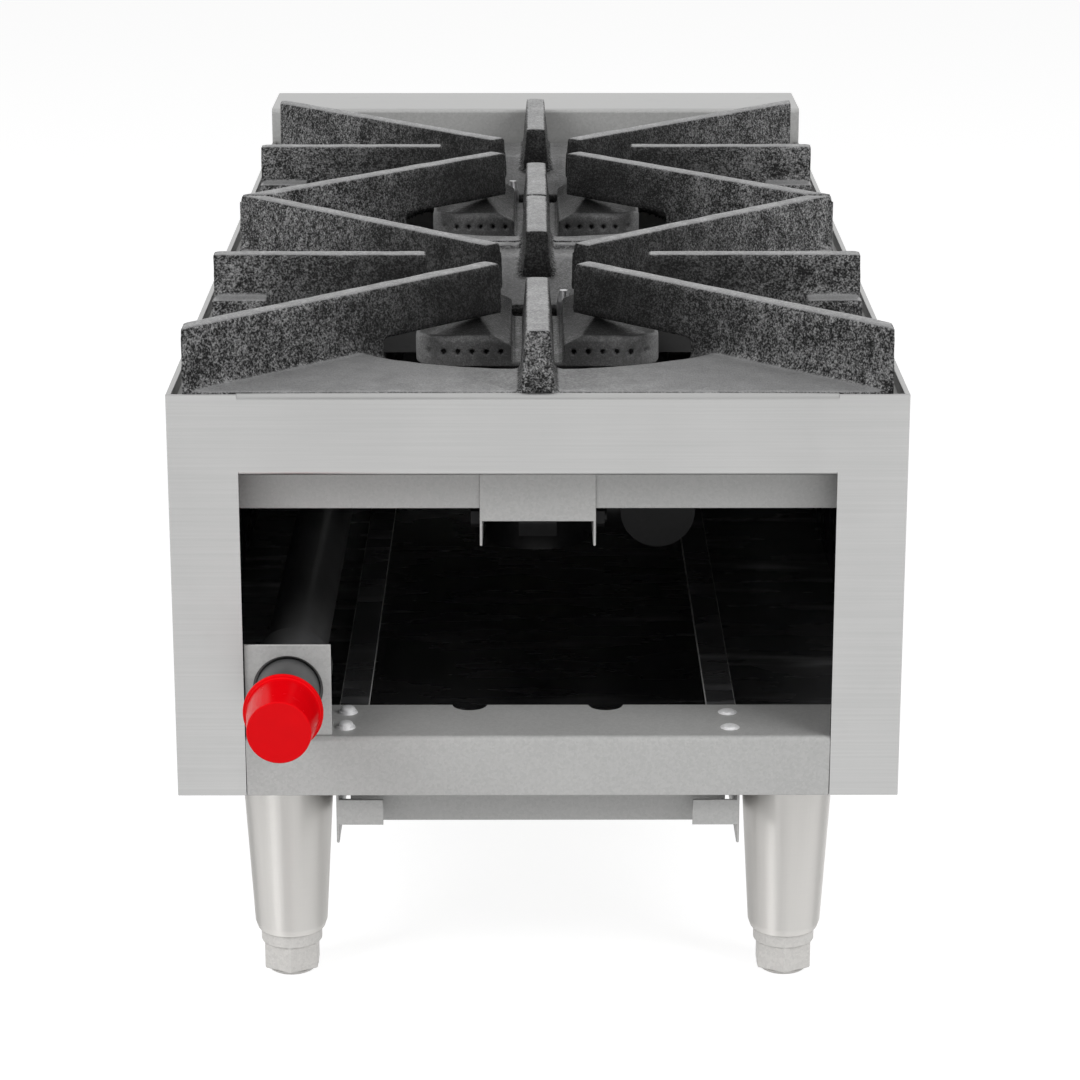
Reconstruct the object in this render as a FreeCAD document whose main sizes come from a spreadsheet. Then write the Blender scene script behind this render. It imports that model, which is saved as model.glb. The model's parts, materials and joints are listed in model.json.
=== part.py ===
import FreeCAD, Part
import os
import Sketcher
from FreeCAD import Placement, Rotation, Vector

# Countertop gas hotplate with two burners, one behind the other, on four adjustable legs.
# Millimetres. +Z is up, the knobs face -Y and the gas inlet faces +Y.
# The origin is on the surface under the feet, midway along the whole depth.

SIZES = {
    # Folded sheet body
    "body_width": 304.8,
    "body_height": 175.0,
    "gauge": 1.2,
    "seam": 0.2,
    "bend_radius": 2.4,
    "overcut": 1.0,
    "fit": 0.3,
    "rear_flange": 29.0,
    "front_flange": 14.0,
    "hem_depth": 14.0,
    # Rails across the back, the middle and the front
    "top_rail_height": 34.6,
    "top_rail_lip": 3.0,
    "top_rail_return": 12.0,
    "inner_rail_setback": 20.0,
    "inner_rail_height": 48.0,
    "inner_rail_flange": 20.0,
    "bottom_rail_height": 26.4,
    "bottom_rail_depth": 41.0,
    "front_rail_setback": 2.8,
    "notch_radius": 7.5,
    "notch_offset": 29.4,
    # Front ledge and control panel
    "control_space": 51.0,
    "nose_reach": 42.0,
    "ledge_rise": 19.0,
    "ledge_height": 54.0,
    "nose_radius": 37.0,
    "shield_height": 30.0,
    "panel_gap": 8.0,
    # Grates with their bowls
    "grate_outer_reach": 156.0,
    "grate_inner_reach": 139.0,
    "grate_gap": 2.0,
    "grate_side_gap": 4.0,
    "deck_rear_gap": 4.0,
    "deck_front_gap": 3.0,
    "grate_plate": 5.0,
    "bowl_rim_radius": 116.0,
    "bowl_hole_radius": 76.0,
    "bowl_drop": 16.0,
    "fin_height": 25.8,
    "fin_top_width": 9.8,
    "fin_base_width": 15.0,
    "fin_bar_height": 22.0,
    "fin_bar_width": 14.0,
    "straight_fin_start": 50.0,
    "corner_fin_start": 28.0,
    "fin_web_start": 100.0,
    "edge_bar_width": 7.5,
    "edge_bar_rise": 2.4,
    "gusset_length": 25.0,
    "gusset_width": 12.0,
    "gusset_height": 8.0,
    "rest_width": 14.0,
    "rest_height": 20.0,
    # Burner heads
    "head_half_width": 54.0,
    "head_half_depth": 47.0,
    "head_corner": 14.0,
    "head_side": 12.0,
    "head_shoulder": 2.0,
    "head_rise": 5.0,
    "head_crown": 15.0,
    "head_slot": 23.4,
    "head_floor": 2.0,
    "head_splay": 31.0,
    "head_splay_depth": 4.0,
    "head_spigot_radius": 39.7,
    "head_spigot": 8.0,
    "seat_drop": 11.0,
    "port_radius": 1.3,
    "port_pitch": 6.4,
    "port_inset": 4.2,
    "port_height": 7.0,
    "port_depth": 5.0,
    # Burner bases with mixing tubes
    "base_rim_radius": 46.0,
    "base_rim_height": 9.0,
    "base_recess_radius": 40.0,
    "riser_radius": 24.0,
    "riser_bore": 18.0,
    "tube_height": 85.0,
    "tube_offset": 55.0,
    "tube_radius": 17.0,
    "tube_bore": 13.0,
    "tube_end": 3.0,
    "cross_radius": 15.5,
    "cross_bore": 12.0,
    "mouth_radius": 24.0,
    "mouth_bore": 20.0,
    "mouth_length": 12.0,
    "mouth_flare": 18.0,
    "mouth_gap": 19.0,
    "lug_gap": 10.0,
    "lug_width": 16.0,
    "lug_depth": 12.0,
    "hanger_width": 48.8,
    "hanger_web_drop": 5.4,
    "hanger_web_rise": 29.0,
    "hanger_drop": 16.0,
    "hanger_depth": 14.0,
    "hanger_reach": 42.0,
    "bolt_radius": 3.0,
    "bolt_inset": 12.0,
    "bolt_hex_radius": 5.4,
    "bolt_head": 4.0,
    "bolt_tail": 5.0,
    # Air shutters
    "shutter_clearance": 0.3,
    "shutter_rim": 8.0,
    "shutter_hole": 9.0,
    "shutter_port_radius": 4.5,
    "shutter_port_circle": 16.0,
    # Gas line
    "pipe_height": 47.0,
    "pipe_radius": 13.335,
    "pipe_bore": 10.46,
    "thread_radius": 12.95,
    "nipple_reach": 35.0,
    "nipple_thread": 10.0,
    "nipple_inside": 16.0,
    "coupling_radius": 17.0,
    "coupling_length": 30.0,
    "elbow_bend": 22.0,
    "elbow_radius": 17.0,
    "manifold_setback": 22.0,
    "manifold_inset": 62.4,
    "plug_radius": 15.5,
    "plug_length": 14.0,
    "saddle_width": 14.0,
    "saddle_right_inset": 15.0,
    "saddle_left_inset": 22.0,
    "saddle_height": 13.0,
    "plate_setback": 2.0,
    "plate_width": 36.4,
    "plate_height": 40.2,
    "plate_foot": 18.0,
    "hole_clearance": 1.8,
    # Cap on the gas inlet
    "cap_start": 26.0,
    "cap_length": 26.0,
    "cap_flange_radius": 16.65,
    "cap_flange": 2.0,
    "cap_mouth_radius": 15.2,
    "cap_end_radius": 13.2,
    "cap_wall": 1.2,
    # Valves, stems and knobs
    "valve_width": 26.0,
    "valve_length": 36.0,
    "valve_setback": 10.0,
    "valve_neck_radius": 6.0,
    "orifice_radius": 7.0,
    "orifice_length": 20.0,
    "stem_radius": 4.0,
    "stem_clearance": 0.05,
    "stem_inside": 12.0,
    "stem_reach": 26.0,
    "stem_hole": 7.0,
    "dial_radius": 30.0,
    "dial_thickness": 1.0,
    "knob_gap": 1.0,
    "knob_radius": 25.0,
    "knob_draft": 1.5,
    "knob_skirt": 8.0,
    "knob_hub_radius": 19.0,
    "knob_hub_draft": 2.0,
    "knob_hub": 14.0,
    "knob_length": 33.0,
    "knob_grip_width": 12.0,
    "knob_grip_length": 42.0,
    "knob_grip_lift": 1.0,
    "knob_bore": 4.3,
    # Pilots
    "pilot_offset": 12.6,
    "pilot_reach": 57.0,
    "pilot_tube_height": 64.0,
    "pilot_tube_radius": 2.5,
    "pilot_bend": 10.0,
    "pilot_tip_drop": 2.0,
    "pilot_tip_radius": 3.2,
    "pilot_tip_length": 14.0,
    "pilot_hood": 8.4,
    "pilot_nose_radius": 1.92,
    "strap_lift": 1.0,
    "strap_thickness": 2.0,
    "strap_width": 10.0,
    "strap_tuck": 0.4,
    "pilot_valve_width": 12.0,
    "pilot_valve_length": 18.0,
    "pilot_valve_height": 11.0,
    # Tray runners and drip tray
    "runner_inset": 66.4,
    "runner_flange": 13.0,
    "runner_drop": 24.6,
    "runner_rear_gap": 8.0,
    "runner_front_gap": 10.0,
    "runner_lip": 15.0,
    "runner_lip_setback": 60.0,
    "stop_drop": 5.0,
    "stop_height": 11.5,
    "stop_width": 18.8,
    "tray_side_gap": 5.5,
    "tray_drop": 19.0,
    "tray_height": 24.0,
    "tray_rear_gap": 20.0,
    "tray_wall": 1.0,
    "tray_front_gap": 0.8,
    "tray_front_inset": 52.4,
    "tray_front_drop": 24.0,
    "tray_front_rise": 7.0,
    "tray_pull": 12.0,
    # Legs and feet
    "leg_height": 101.6,
    "leg_side_inset": 42.9,
    "leg_inset": 53.0,
    "leg_top_radius": 20.5,
    "leg_low_radius": 16.0,
    "leg_shoulder": 3.6,
    "leg_end_radius": 14.8,
    "foot_radius": 13.5,
    "foot_clearance": 0.3,
    "foot_show": 20.0,
    "foot_hex": 12.0,
    "foot_chamfer": 2.0,
    "foot_tip_radius": 11.0,
    "foot_inside": 35.0,
    "stud_radius": 5.0,
    "stud_length": 9.0,
    "nut_radius": 8.5,
    "nut_height": 7.0,
    # Screws
    "screw_radius": 2.0,
    "screw_head_radius": 4.2,
    "screw_top_radius": 2.94,
    "screw_head": 3.0,
    "screw_length": 8.0,
    "screw_clearance": 0.2,
    "screw_inset": 4.4,
    "screw_near": 12.0,
    "screw_far": 31.0,
    "panel_screw_side": 7.0,
    "panel_screw_end": 12.0,
    "panel_screw_length": 3.2,
}

FIN_COUNT = 8
FACE_PORTS = 6
SIDE_PORTS = 9
SHUTTER_PORTS = 6

doc = FreeCAD.newDocument("gas_hotplate")
sheet = doc.addObject("Spreadsheet::Sheet", "dims")
for row, (alias, number) in enumerate(SIZES.items(), start=1):
    sheet.set(f"A{row}", alias)
    sheet.set(f"B{row}", str(number))
    sheet.setAlias(f"B{row}", alias)
doc.recompute()


# Lengths that carry their sheet formula

class Size:
    """A length with its number and the sheet formula that gives it."""

    def __init__(self, formula, number):
        self.formula = formula
        self.number = number

    def __add__(self, other):
        other = as_size(other)
        return Size(f"({self.formula} + {other.formula})", self.number + other.number)

    def __radd__(self, other):
        return as_size(other) + self

    def __sub__(self, other):
        other = as_size(other)
        return Size(f"({self.formula} - {other.formula})", self.number - other.number)

    def __rsub__(self, other):
        return as_size(other) - self

    def __mul__(self, factor):
        factor = as_size(factor)
        return Size(f"({self.formula} * {factor.formula})", self.number * factor.number)

    def __rmul__(self, factor):
        return as_size(factor) * self

    def __truediv__(self, factor):
        factor = as_size(factor)
        return Size(f"({self.formula} / {factor.formula})", self.number / factor.number)

    def __neg__(self):
        return self * -1


def as_size(value):
    if isinstance(value, Size):
        return value
    return Size(f"({float(value)})", float(value))


class Dims:
    """The sheet's cells as lengths, by their aliases."""

    def __init__(self, table):
        for name, number in table.items():
            setattr(self, name, Size(f"dims.{name}", number))


d = Dims(SIZES)


# Building blocks

def bind(thing, path, value):
    thing.setExpression(path, as_size(value).formula)


def place(thing, x, y, z, rotation=Rotation()):
    thing.Placement = Placement(Vector(), rotation)
    bind(thing, "Placement.Base.x", x)
    bind(thing, "Placement.Base.y", y)
    bind(thing, "Placement.Base.z", z)


AXIS_TURNS = {
    "X": Rotation(Vector(0, 1, 0), 90),
    "Y": Rotation(Vector(1, 0, 0), -90),
    "Z": Rotation(),
}


def block(x, y, z):
    """A box between the low and high values given for each axis."""
    box = doc.addObject("Part::Box", "block")
    bind(box, "Length", x[1] - x[0])
    bind(box, "Width", y[1] - y[0])
    bind(box, "Height", z[1] - z[0])
    place(box, x[0], y[0], z[0])
    return box


def place_on_axis(thing, axis, low, centre):
    first, second = centre
    spots = {"X": (low, first, second), "Y": (first, low, second), "Z": (first, second, low)}
    place(thing, *spots[axis], AXIS_TURNS[axis])


def rod(radius, axis, span, centre):
    """A cylinder along an axis; centre holds the other two coordinates in X, Y, Z order."""
    cylinder = doc.addObject("Part::Cylinder", "rod")
    bind(cylinder, "Radius", radius)
    bind(cylinder, "Height", span[1] - span[0])
    place_on_axis(cylinder, axis, span[0], centre)
    return cylinder


def frustum(low_radius, high_radius, axis, span, centre):
    cone = doc.addObject("Part::Cone", "frustum")
    bind(cone, "Radius1", low_radius)
    bind(cone, "Radius2", high_radius)
    bind(cone, "Height", span[1] - span[0])
    place_on_axis(cone, axis, span[0], centre)
    return cone


def hexagon(radius, axis, span, centre):
    prism = doc.addObject("Part::Prism", "hexagon")
    prism.Polygon = 6
    bind(prism, "Circumradius", radius)
    bind(prism, "Height", span[1] - span[0])
    place_on_axis(prism, axis, span[0], centre)
    return prism


def quarter_bend(bend, radius, x, y, z, rotation):
    """A quarter of a ring that starts on its own X axis and ends on its own Y axis."""
    ring = doc.addObject("Part::Torus", "quarter_bend")
    bind(ring, "Radius1", bend)
    bind(ring, "Radius2", radius)
    ring.Angle3 = 90
    place(ring, x, y, z, rotation)
    return ring


def join(label, *pieces):
    fusion = doc.addObject("Part::MultiFuse", label)
    fusion.Label = label
    fusion.Shapes = list(pieces)
    fusion.Refine = True
    return fusion


def group(label, *pieces):
    compound = doc.addObject("Part::Compound", label)
    compound.Label = label
    compound.Links = list(pieces)
    return compound


def trim(label, base, *tools):
    cut = doc.addObject("Part::Cut", label)
    cut.Label = label
    cut.Base = base
    cut.Tool = tools[0] if len(tools) == 1 else group(label + "_tools", *tools)
    cut.Refine = True
    return cut


def overlap(label, first, second):
    common = doc.addObject("Part::Common", label)
    common.Label = label
    common.Base = first
    common.Tool = second
    return common


def outline_sketch(body, plane, outline):
    """A closed outline on one of the body's own planes, every corner held by the sheet."""
    sketch = body.newObject("Sketcher::SketchObject", "outline")
    support = [feature for feature in body.Origin.OriginFeatures if feature.Role == plane][0]
    sketch.AttachmentSupport = [(support, "")]
    sketch.MapMode = "FlatFace"
    corners = [(as_size(u), as_size(v)) for u, v in outline]
    count = len(corners)
    for index, (u, v) in enumerate(corners):
        next_u, next_v = corners[(index + 1) % count]
        start = Vector(u.number, v.number, 0)
        sketch.addGeometry(Part.LineSegment(start, Vector(next_u.number, next_v.number, 0)))
    for index in range(count):
        sketch.addConstraint(Sketcher.Constraint("Coincident", index, 2, (index + 1) % count, 1))
    for index, corner in enumerate(corners):
        for kind, value in zip(("DistanceX", "DistanceY"), corner):
            number = sketch.addConstraint(Sketcher.Constraint(kind, -1, 1, index, 1, value.number))
            sketch.renameConstraint(number, f"{kind}{index}")
            bind(sketch, f"Constraints.{kind}{index}", value)
    return sketch


def folded(label, outline, width, rounds=()):
    """A sheet outline in Y and Z, made wide along X; rounds holds (corner index, radius)."""
    body = doc.addObject("PartDesign::Body", label)
    body.Label = label
    sketch = outline_sketch(body, "YZ_Plane", outline)
    pad = body.newObject("PartDesign::Pad", "pad")
    pad.Profile = sketch
    pad.SideType = "Symmetric"
    bind(pad, "Length", width)
    doc.recompute()
    feature = pad
    for index, radius in rounds:
        corner = Vector(0, as_size(outline[index][0]).number, as_size(outline[index][1]).number)
        names = []
        for number, edge in enumerate(feature.Shape.Edges, start=1):
            middle = edge.CenterOfMass
            if edge.Length > 0.99 * width.number and (middle - corner).Length < 0.01:
                names.append(f"Edge{number}")
        fillet = body.newObject("PartDesign::Fillet", "bend")
        fillet.Base = (feature, names)
        bind(fillet, "Radius", radius)
        doc.recompute()
        feature = fillet
    return body


def turned(label, outline, x, y, z, rotation=Rotation()):
    """A piece of revolution from (radius, height) corners about its own upright axis."""
    body = doc.addObject("PartDesign::Body", label)
    body.Label = label
    sketch = outline_sketch(body, "XZ_Plane", outline)
    spin = body.newObject("PartDesign::Revolution", "spin")
    spin.Profile = sketch
    spin.ReferenceAxis = (sketch, ["V_Axis"])
    spin.Angle = 360
    place(body, x, y, z, rotation)
    return body


NODES = []


def node(piece):
    NODES.append(piece)
    return piece


# Shared places

half = d.body_width / 2
floor_z = d.leg_height
top_z = floor_z + d.body_height
inside = half - d.gauge
hem_x = inside - d.gauge
rest_z = top_z - d.grate_plate
wall_depth = (d.deck_rear_gap + 2 * d.grate_outer_reach + 2 * d.grate_inner_reach
              + d.grate_gap + d.deck_front_gap)
body_depth = wall_depth + d.control_space
rear_y = (body_depth + d.nose_reach - d.cap_start - d.cap_length) / 2
front_y = rear_y - body_depth
panel_y = front_y - d.gauge
nose_y = front_y - d.nose_reach
wall_y = rear_y - wall_depth
rear_burner_y = rear_y - d.deck_rear_gap - d.grate_outer_reach
front_burner_y = wall_y + d.deck_front_gap + d.grate_outer_reach
tube_z = floor_z + d.tube_height
pipe_z = floor_z + d.pipe_height
manifold_y = front_y + d.manifold_setback
head_z = rest_z - d.seat_drop
ledge_top_z = top_z + d.ledge_rise
ledge_low_z = ledge_top_z - d.ledge_height
valve_front_y = front_y + d.valve_setback
valve_back_y = valve_front_y + d.valve_length
mouth_y = valve_back_y + d.mouth_gap
inner_rail_y = rear_y - d.inner_rail_setback
middle_rail_y = (rear_burner_y + front_burner_y) / 2
rail_top_z = rest_z - d.gauge
rail_low_z = rail_top_z - d.inner_rail_height
bolt_z = rail_low_z - d.hanger_drop + d.hanger_depth / 2
runner_x = half - d.runner_inset
leg_x = half - d.leg_side_inset
plate_x = half - d.rear_flange - d.seam
pipe_x = plate_x - d.plate_width / 2
leg_spots = {
    "rear_left": (-leg_x, rear_y - d.leg_inset),
    "rear_right": (leg_x, rear_y - d.leg_inset),
    "front_left": (-leg_x, front_y + d.leg_inset),
    "front_right": (leg_x, front_y + d.leg_inset),
}
# The front burner's tube, valve and knob are on the right, the rear burner's on the left
tube_sides = {"front": 1, "rear": -1}
burner_ys = {"front": front_burner_y, "rear": rear_burner_y}


def between(first, second, side):
    """Low and high X of a piece that spans first to second on the given side of the middle."""
    if side > 0:
        return (as_size(first), as_size(second))
    return (-as_size(second), -as_size(first))


def around(middle, width):
    return (middle - width / 2, middle + width / 2)


def past(low, high):
    """The span of a cutter that reaches past both faces."""
    return (low - d.overcut, high + d.overcut)


screw_hole = d.screw_radius + d.screw_clearance
rail_screw_x = runner_x - d.screw_inset
rail_screw_ys = (rear_y - d.screw_near, rear_y - d.screw_far,
                 front_y + d.screw_near + d.front_rail_setback, front_y + d.screw_far)
panel_screw_spots = []
for screw_side in (-1, 1):
    for screw_z in (floor_z + d.panel_gap + d.panel_screw_end, ledge_low_z - d.seam - d.panel_screw_end):
        panel_screw_spots.append((screw_side * (half - d.panel_screw_side), screw_z))


# Folded sheet body

def side_panel(label, side):
    step_y = wall_y + d.seam
    step_z = ledge_low_z - d.seam
    ledge_x = runner_x + d.seam
    sheets = join(
        label + "_sheets",
        block(between(inside, half, side), (step_y, rear_y), (floor_z, top_z)),
        block(between(inside, half, side), (front_y, step_y), (floor_z, step_z)),
        block(between(hem_x, inside, side), (step_y, rear_y), (top_z - d.hem_depth, top_z)),
        block(between(half - d.rear_flange, half, side), (rear_y - d.gauge, rear_y), (floor_z, top_z)),
        block(between(half - d.front_flange, half, side), (front_y, front_y + d.gauge),
              (floor_z, step_z)),
        block(between(ledge_x, half, side), (front_y, rear_y - d.gauge - d.seam),
              (floor_z, floor_z + d.gauge)),
    )
    holes = []
    for x, y in leg_spots.values():
        if x.number * side > 0:
            span = past(floor_z, floor_z + d.gauge)
            holes.append(rod(d.stud_radius + d.seam, "Z", span, (x, y)))
    for x, z in panel_screw_spots:
        if x.number * side > 0:
            holes.append(rod(screw_hole, "Y", past(front_y, front_y + d.gauge), (x, z)))
    return trim(label, sheets, *holes)


node(side_panel("left_side_panel", -1))
node(side_panel("right_side_panel", 1))

rail_width = d.body_width - 2 * d.rear_flange - 2 * d.seam
top_rail_low_z = top_z - d.top_rail_height
node(folded(
    "rear_top_rail",
    [
        (rear_y - d.top_rail_lip, top_z),
        (rear_y, top_z),
        (rear_y, top_rail_low_z),
        (rear_y - d.top_rail_return, top_rail_low_z),
        (rear_y - d.top_rail_return, top_rail_low_z + d.gauge),
        (rear_y - d.gauge, top_rail_low_z + d.gauge),
        (rear_y - d.gauge, top_z - d.gauge),
        (rear_y - d.top_rail_lip, top_z - d.gauge),
    ],
    rail_width,
    [(1, d.bend_radius), (2, d.bend_radius), (5, d.bend_radius - d.gauge)],
))

bottom_rail_z = floor_z + d.bottom_rail_height
bottom_rail_sheet = folded(
    "rear_bottom_rail_sheet",
    [
        (rear_y, floor_z),
        (rear_y, bottom_rail_z),
        (rear_y - d.bottom_rail_depth, bottom_rail_z),
        (rear_y - d.bottom_rail_depth, bottom_rail_z - d.gauge),
        (rear_y - d.gauge, bottom_rail_z - d.gauge),
        (rear_y - d.gauge, floor_z),
    ],
    rail_width,
    [(1, d.bend_radius), (4, d.bend_radius - d.gauge)],
)
flange_span = past(bottom_rail_z - d.gauge, bottom_rail_z)
rear_rail_holes = []
for notch_side in (-1, 1):
    notch_spot = (notch_side * d.notch_offset, rear_y - d.bottom_rail_depth)
    rear_rail_holes.append(rod(d.notch_radius, "Z", flange_span, notch_spot))
    for screw_y in rail_screw_ys[:2]:
        rear_rail_holes.append(rod(screw_hole, "Z", flange_span, (notch_side * rail_screw_x, screw_y)))
node(trim("rear_bottom_rail", bottom_rail_sheet, *rear_rail_holes))

front_rail_y = front_y + d.front_rail_setback
front_rail_sheet = folded(
    "front_bottom_rail_sheet",
    [
        (front_rail_y, floor_z + d.panel_gap),
        (front_rail_y + d.gauge, floor_z + d.panel_gap),
        (front_rail_y + d.gauge, bottom_rail_z - d.gauge),
        (front_rail_y + d.bottom_rail_depth, bottom_rail_z - d.gauge),
        (front_rail_y + d.bottom_rail_depth, bottom_rail_z),
        (front_rail_y, bottom_rail_z),
    ],
    2 * inside - 2 * d.seam,
    [(5, d.bend_radius), (2, d.bend_radius - d.gauge)],
)
front_rail_holes = []
for screw_side in (-1, 1):
    for screw_y in rail_screw_ys[2:]:
        front_rail_holes.append(rod(screw_hole, "Z", flange_span, (screw_side * rail_screw_x, screw_y)))
node(trim("front_bottom_rail", front_rail_sheet, *front_rail_holes))

cross_width = 2 * (hem_x - d.gauge) - 2 * d.seam
node(folded(
    "rear_inner_rail",
    [
        (inner_rail_y, rail_low_z),
        (inner_rail_y, rail_top_z),
        (inner_rail_y - d.inner_rail_flange, rail_top_z),
        (inner_rail_y - d.inner_rail_flange, rail_top_z - d.gauge),
        (inner_rail_y - d.gauge, rail_top_z - d.gauge),
        (inner_rail_y - d.gauge, rail_low_z),
    ],
    cross_width,
    [(1, d.bend_radius), (4, d.bend_radius - d.gauge)],
))
node(folded(
    "middle_rail",
    [
        (middle_rail_y, rail_low_z),
        (middle_rail_y, rail_top_z),
        (middle_rail_y - d.inner_rail_flange, rail_top_z),
        (middle_rail_y - d.inner_rail_flange, rail_top_z - d.gauge),
        (middle_rail_y - d.gauge, rail_top_z - d.gauge),
        (middle_rail_y - d.gauge, rail_low_z),
    ],
    cross_width,
    [(1, d.bend_radius), (4, d.bend_radius - d.gauge)],
))

ledge_outside = folded(
    "ledge_outside",
    [(wall_y, ledge_low_z), (wall_y, ledge_top_z), (nose_y, ledge_top_z), (nose_y, ledge_low_z)],
    d.body_width,
    [(2, d.nose_radius), (1, d.bend_radius)],
)
ledge_inside = folded(
    "ledge_inside",
    [
        (wall_y - d.gauge, ledge_low_z + d.gauge),
        (wall_y - d.gauge, ledge_top_z - d.gauge),
        (nose_y + d.gauge, ledge_top_z - d.gauge),
        (nose_y + d.gauge, ledge_low_z + d.gauge),
    ],
    2 * inside,
    [(2, d.nose_radius - d.gauge)],
)
ledge_opening = block(
    (-inside, inside), (panel_y, wall_y - d.gauge), past(ledge_low_z, ledge_low_z + d.gauge))
ledge_shell = trim("ledge_shell", ledge_outside, ledge_inside, ledge_opening)
ledge_shield = block(
    (-inside + d.seam, inside - d.seam), (wall_y - d.gauge, wall_y),
    (ledge_low_z - d.shield_height, ledge_low_z))
node(join("front_ledge", ledge_shell, ledge_shield))

panel_sheet = block((-half, half), (panel_y, front_y), (floor_z + d.panel_gap, ledge_low_z - d.seam))
panel_holes = []
for side in tube_sides.values():
    panel_holes.append(rod(d.stem_hole, "Y", past(panel_y, front_y), (side * d.tube_offset, tube_z)))
for x, z in panel_screw_spots:
    panel_holes.append(rod(screw_hole, "Y", past(panel_y, front_y), (x, z)))
node(trim("control_panel", panel_sheet, *panel_holes))


# Angles that carry the grates

def grate_rest(label, side):
    span = (wall_y + d.seam, rear_y - d.gauge - d.seam)
    return join(
        label,
        block(between(hem_x - d.rest_width, hem_x, side), span, (rail_top_z, rest_z)),
        block(between(hem_x - d.gauge, hem_x, side), span, (rest_z - d.rest_height, rest_z)),
    )


node(grate_rest("left_grate_rest", -1))
node(grate_rest("right_grate_rest", 1))


# Runners of the drip tray

def tray_runner(label, side):
    top = bottom_rail_z - d.gauge
    low = floor_z - d.runner_drop
    web_x = runner_x - d.gauge
    lip_z = floor_z - d.tray_drop
    stop_z = floor_z - d.stop_drop
    rear_end = rear_y - d.runner_rear_gap
    span = (front_y + d.runner_front_gap, rear_end)
    lip_span = (span[0], rear_end - d.runner_lip_setback)
    sheets = join(
        label + "_sheets",
        block(between(web_x, runner_x, side), span, (low, top)),
        block(between(runner_x - d.runner_flange, runner_x, side), span, (top - d.gauge, top)),
        block(between(web_x - d.runner_lip, runner_x, side), lip_span, (lip_z - d.gauge, lip_z)),
        block(between(web_x - d.stop_width, runner_x, side), (rear_end - d.gauge, rear_end),
              (stop_z - d.stop_height, stop_z)),
    )
    holes = []
    for y in rail_screw_ys:
        holes.append(rod(screw_hole, "Z", past(top - d.gauge, top), (side * rail_screw_x, y)))
    return trim(label, sheets, *holes)


node(tray_runner("left_tray_rail", -1))
node(tray_runner("right_tray_rail", 1))

rail_screws = []
for screw_side in (-1, 1):
    for screw_y in rail_screw_ys:
        spot = (screw_side * rail_screw_x, screw_y)
        rail_screws.append(join(
            "rail_screw",
            rod(d.screw_radius, "Z", (bottom_rail_z - d.screw_length, bottom_rail_z), spot),
            frustum(d.screw_head_radius, d.screw_top_radius, "Z",
                    (bottom_rail_z, bottom_rail_z + d.screw_head), spot),
        ))
node(group("rail_screws", *rail_screws))

panel_screws = []
for spot in panel_screw_spots:
    panel_screws.append(join(
        "panel_screw",
        rod(d.screw_radius, "Y", (panel_y, panel_y + d.panel_screw_length), spot),
        frustum(d.screw_top_radius, d.screw_head_radius, "Y", (panel_y - d.screw_head, panel_y), spot),
    ))
node(group("panel_screws", *panel_screws))


# Drip tray

tray_low_z = floor_z - d.tray_drop
tray_top_z = tray_low_z + d.tray_height
tray_rear_y = rear_y - d.tray_rear_gap
tray_front_y = panel_y - d.tray_front_gap
tray_x = runner_x - d.tray_side_gap
tray_front_x = half - d.tray_front_inset
tray_box = block((-tray_x, tray_x), (tray_front_y, tray_rear_y), (tray_low_z, tray_top_z))
tray_room = block(
    (-tray_x + d.tray_wall, tray_x - d.tray_wall),
    (tray_front_y + d.tray_wall, tray_rear_y - d.tray_wall),
    (tray_low_z + d.tray_wall, tray_top_z + d.overcut),
)
tray_face_y = tray_front_y - d.gauge
tray_face = block(
    (-tray_front_x, tray_front_x),
    (tray_face_y, tray_front_y),
    (floor_z - d.tray_front_drop, floor_z + d.tray_front_rise),
)
tray_pull = block(
    (-tray_front_x, tray_front_x),
    (tray_face_y - d.tray_pull, tray_face_y),
    (floor_z - d.tray_front_drop, floor_z - d.tray_front_drop + d.gauge),
)
node(join("drip_tray", trim("tray_shell", tray_box, tray_room), tray_face, tray_pull))


# Legs and feet

def leg(label, x, y):
    sleeve = turned(
        label + "_sleeve",
        [
            (0, d.foot_show),
            (d.leg_end_radius, d.foot_show),
            (d.leg_low_radius, d.foot_show + d.leg_shoulder),
            (d.leg_top_radius, d.leg_height),
            (d.stud_radius, d.leg_height),
            (d.stud_radius, d.leg_height + d.stud_length),
            (0, d.leg_height + d.stud_length),
        ],
        x, y, 0)
    socket_span = (d.foot_show - d.overcut, d.foot_show + d.foot_inside)
    socket = rod(d.foot_radius + d.foot_clearance, "Z", socket_span, (x, y))
    return trim(label, sleeve, socket)


def foot(label, x, y):
    hex_z = d.foot_chamfer + d.foot_hex
    grip = hexagon(d.foot_radius, "Z", (d.foot_chamfer, hex_z), (x, y))
    # A corner of the grip, not a flat, faces the rear
    place(grip, x, y, d.foot_chamfer, Rotation(Vector(0, 0, 1), 30))
    return join(
        label,
        frustum(d.foot_tip_radius - d.foot_chamfer / 2, d.foot_tip_radius, "Z",
                (as_size(0), d.foot_chamfer), (x, y)),
        grip,
        rod(d.foot_radius, "Z", (hex_z, d.foot_show + d.foot_inside), (x, y)),
    )


leg_nuts = []
for corner, leg_spot in leg_spots.items():
    node(leg("leg_" + corner, *leg_spot))
    node(foot("foot_" + corner, *leg_spot))
    nut_span = (floor_z + d.gauge, floor_z + d.gauge + d.nut_height)
    leg_nuts.append(trim(
        "leg_nut",
        hexagon(d.nut_radius, "Z", nut_span, leg_spot),
        rod(d.stud_radius + d.seam, "Z", past(*nut_span), leg_spot),
    ))
node(group("leg_nuts", *leg_nuts))


# Gas line from the inlet to the manifold

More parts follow.
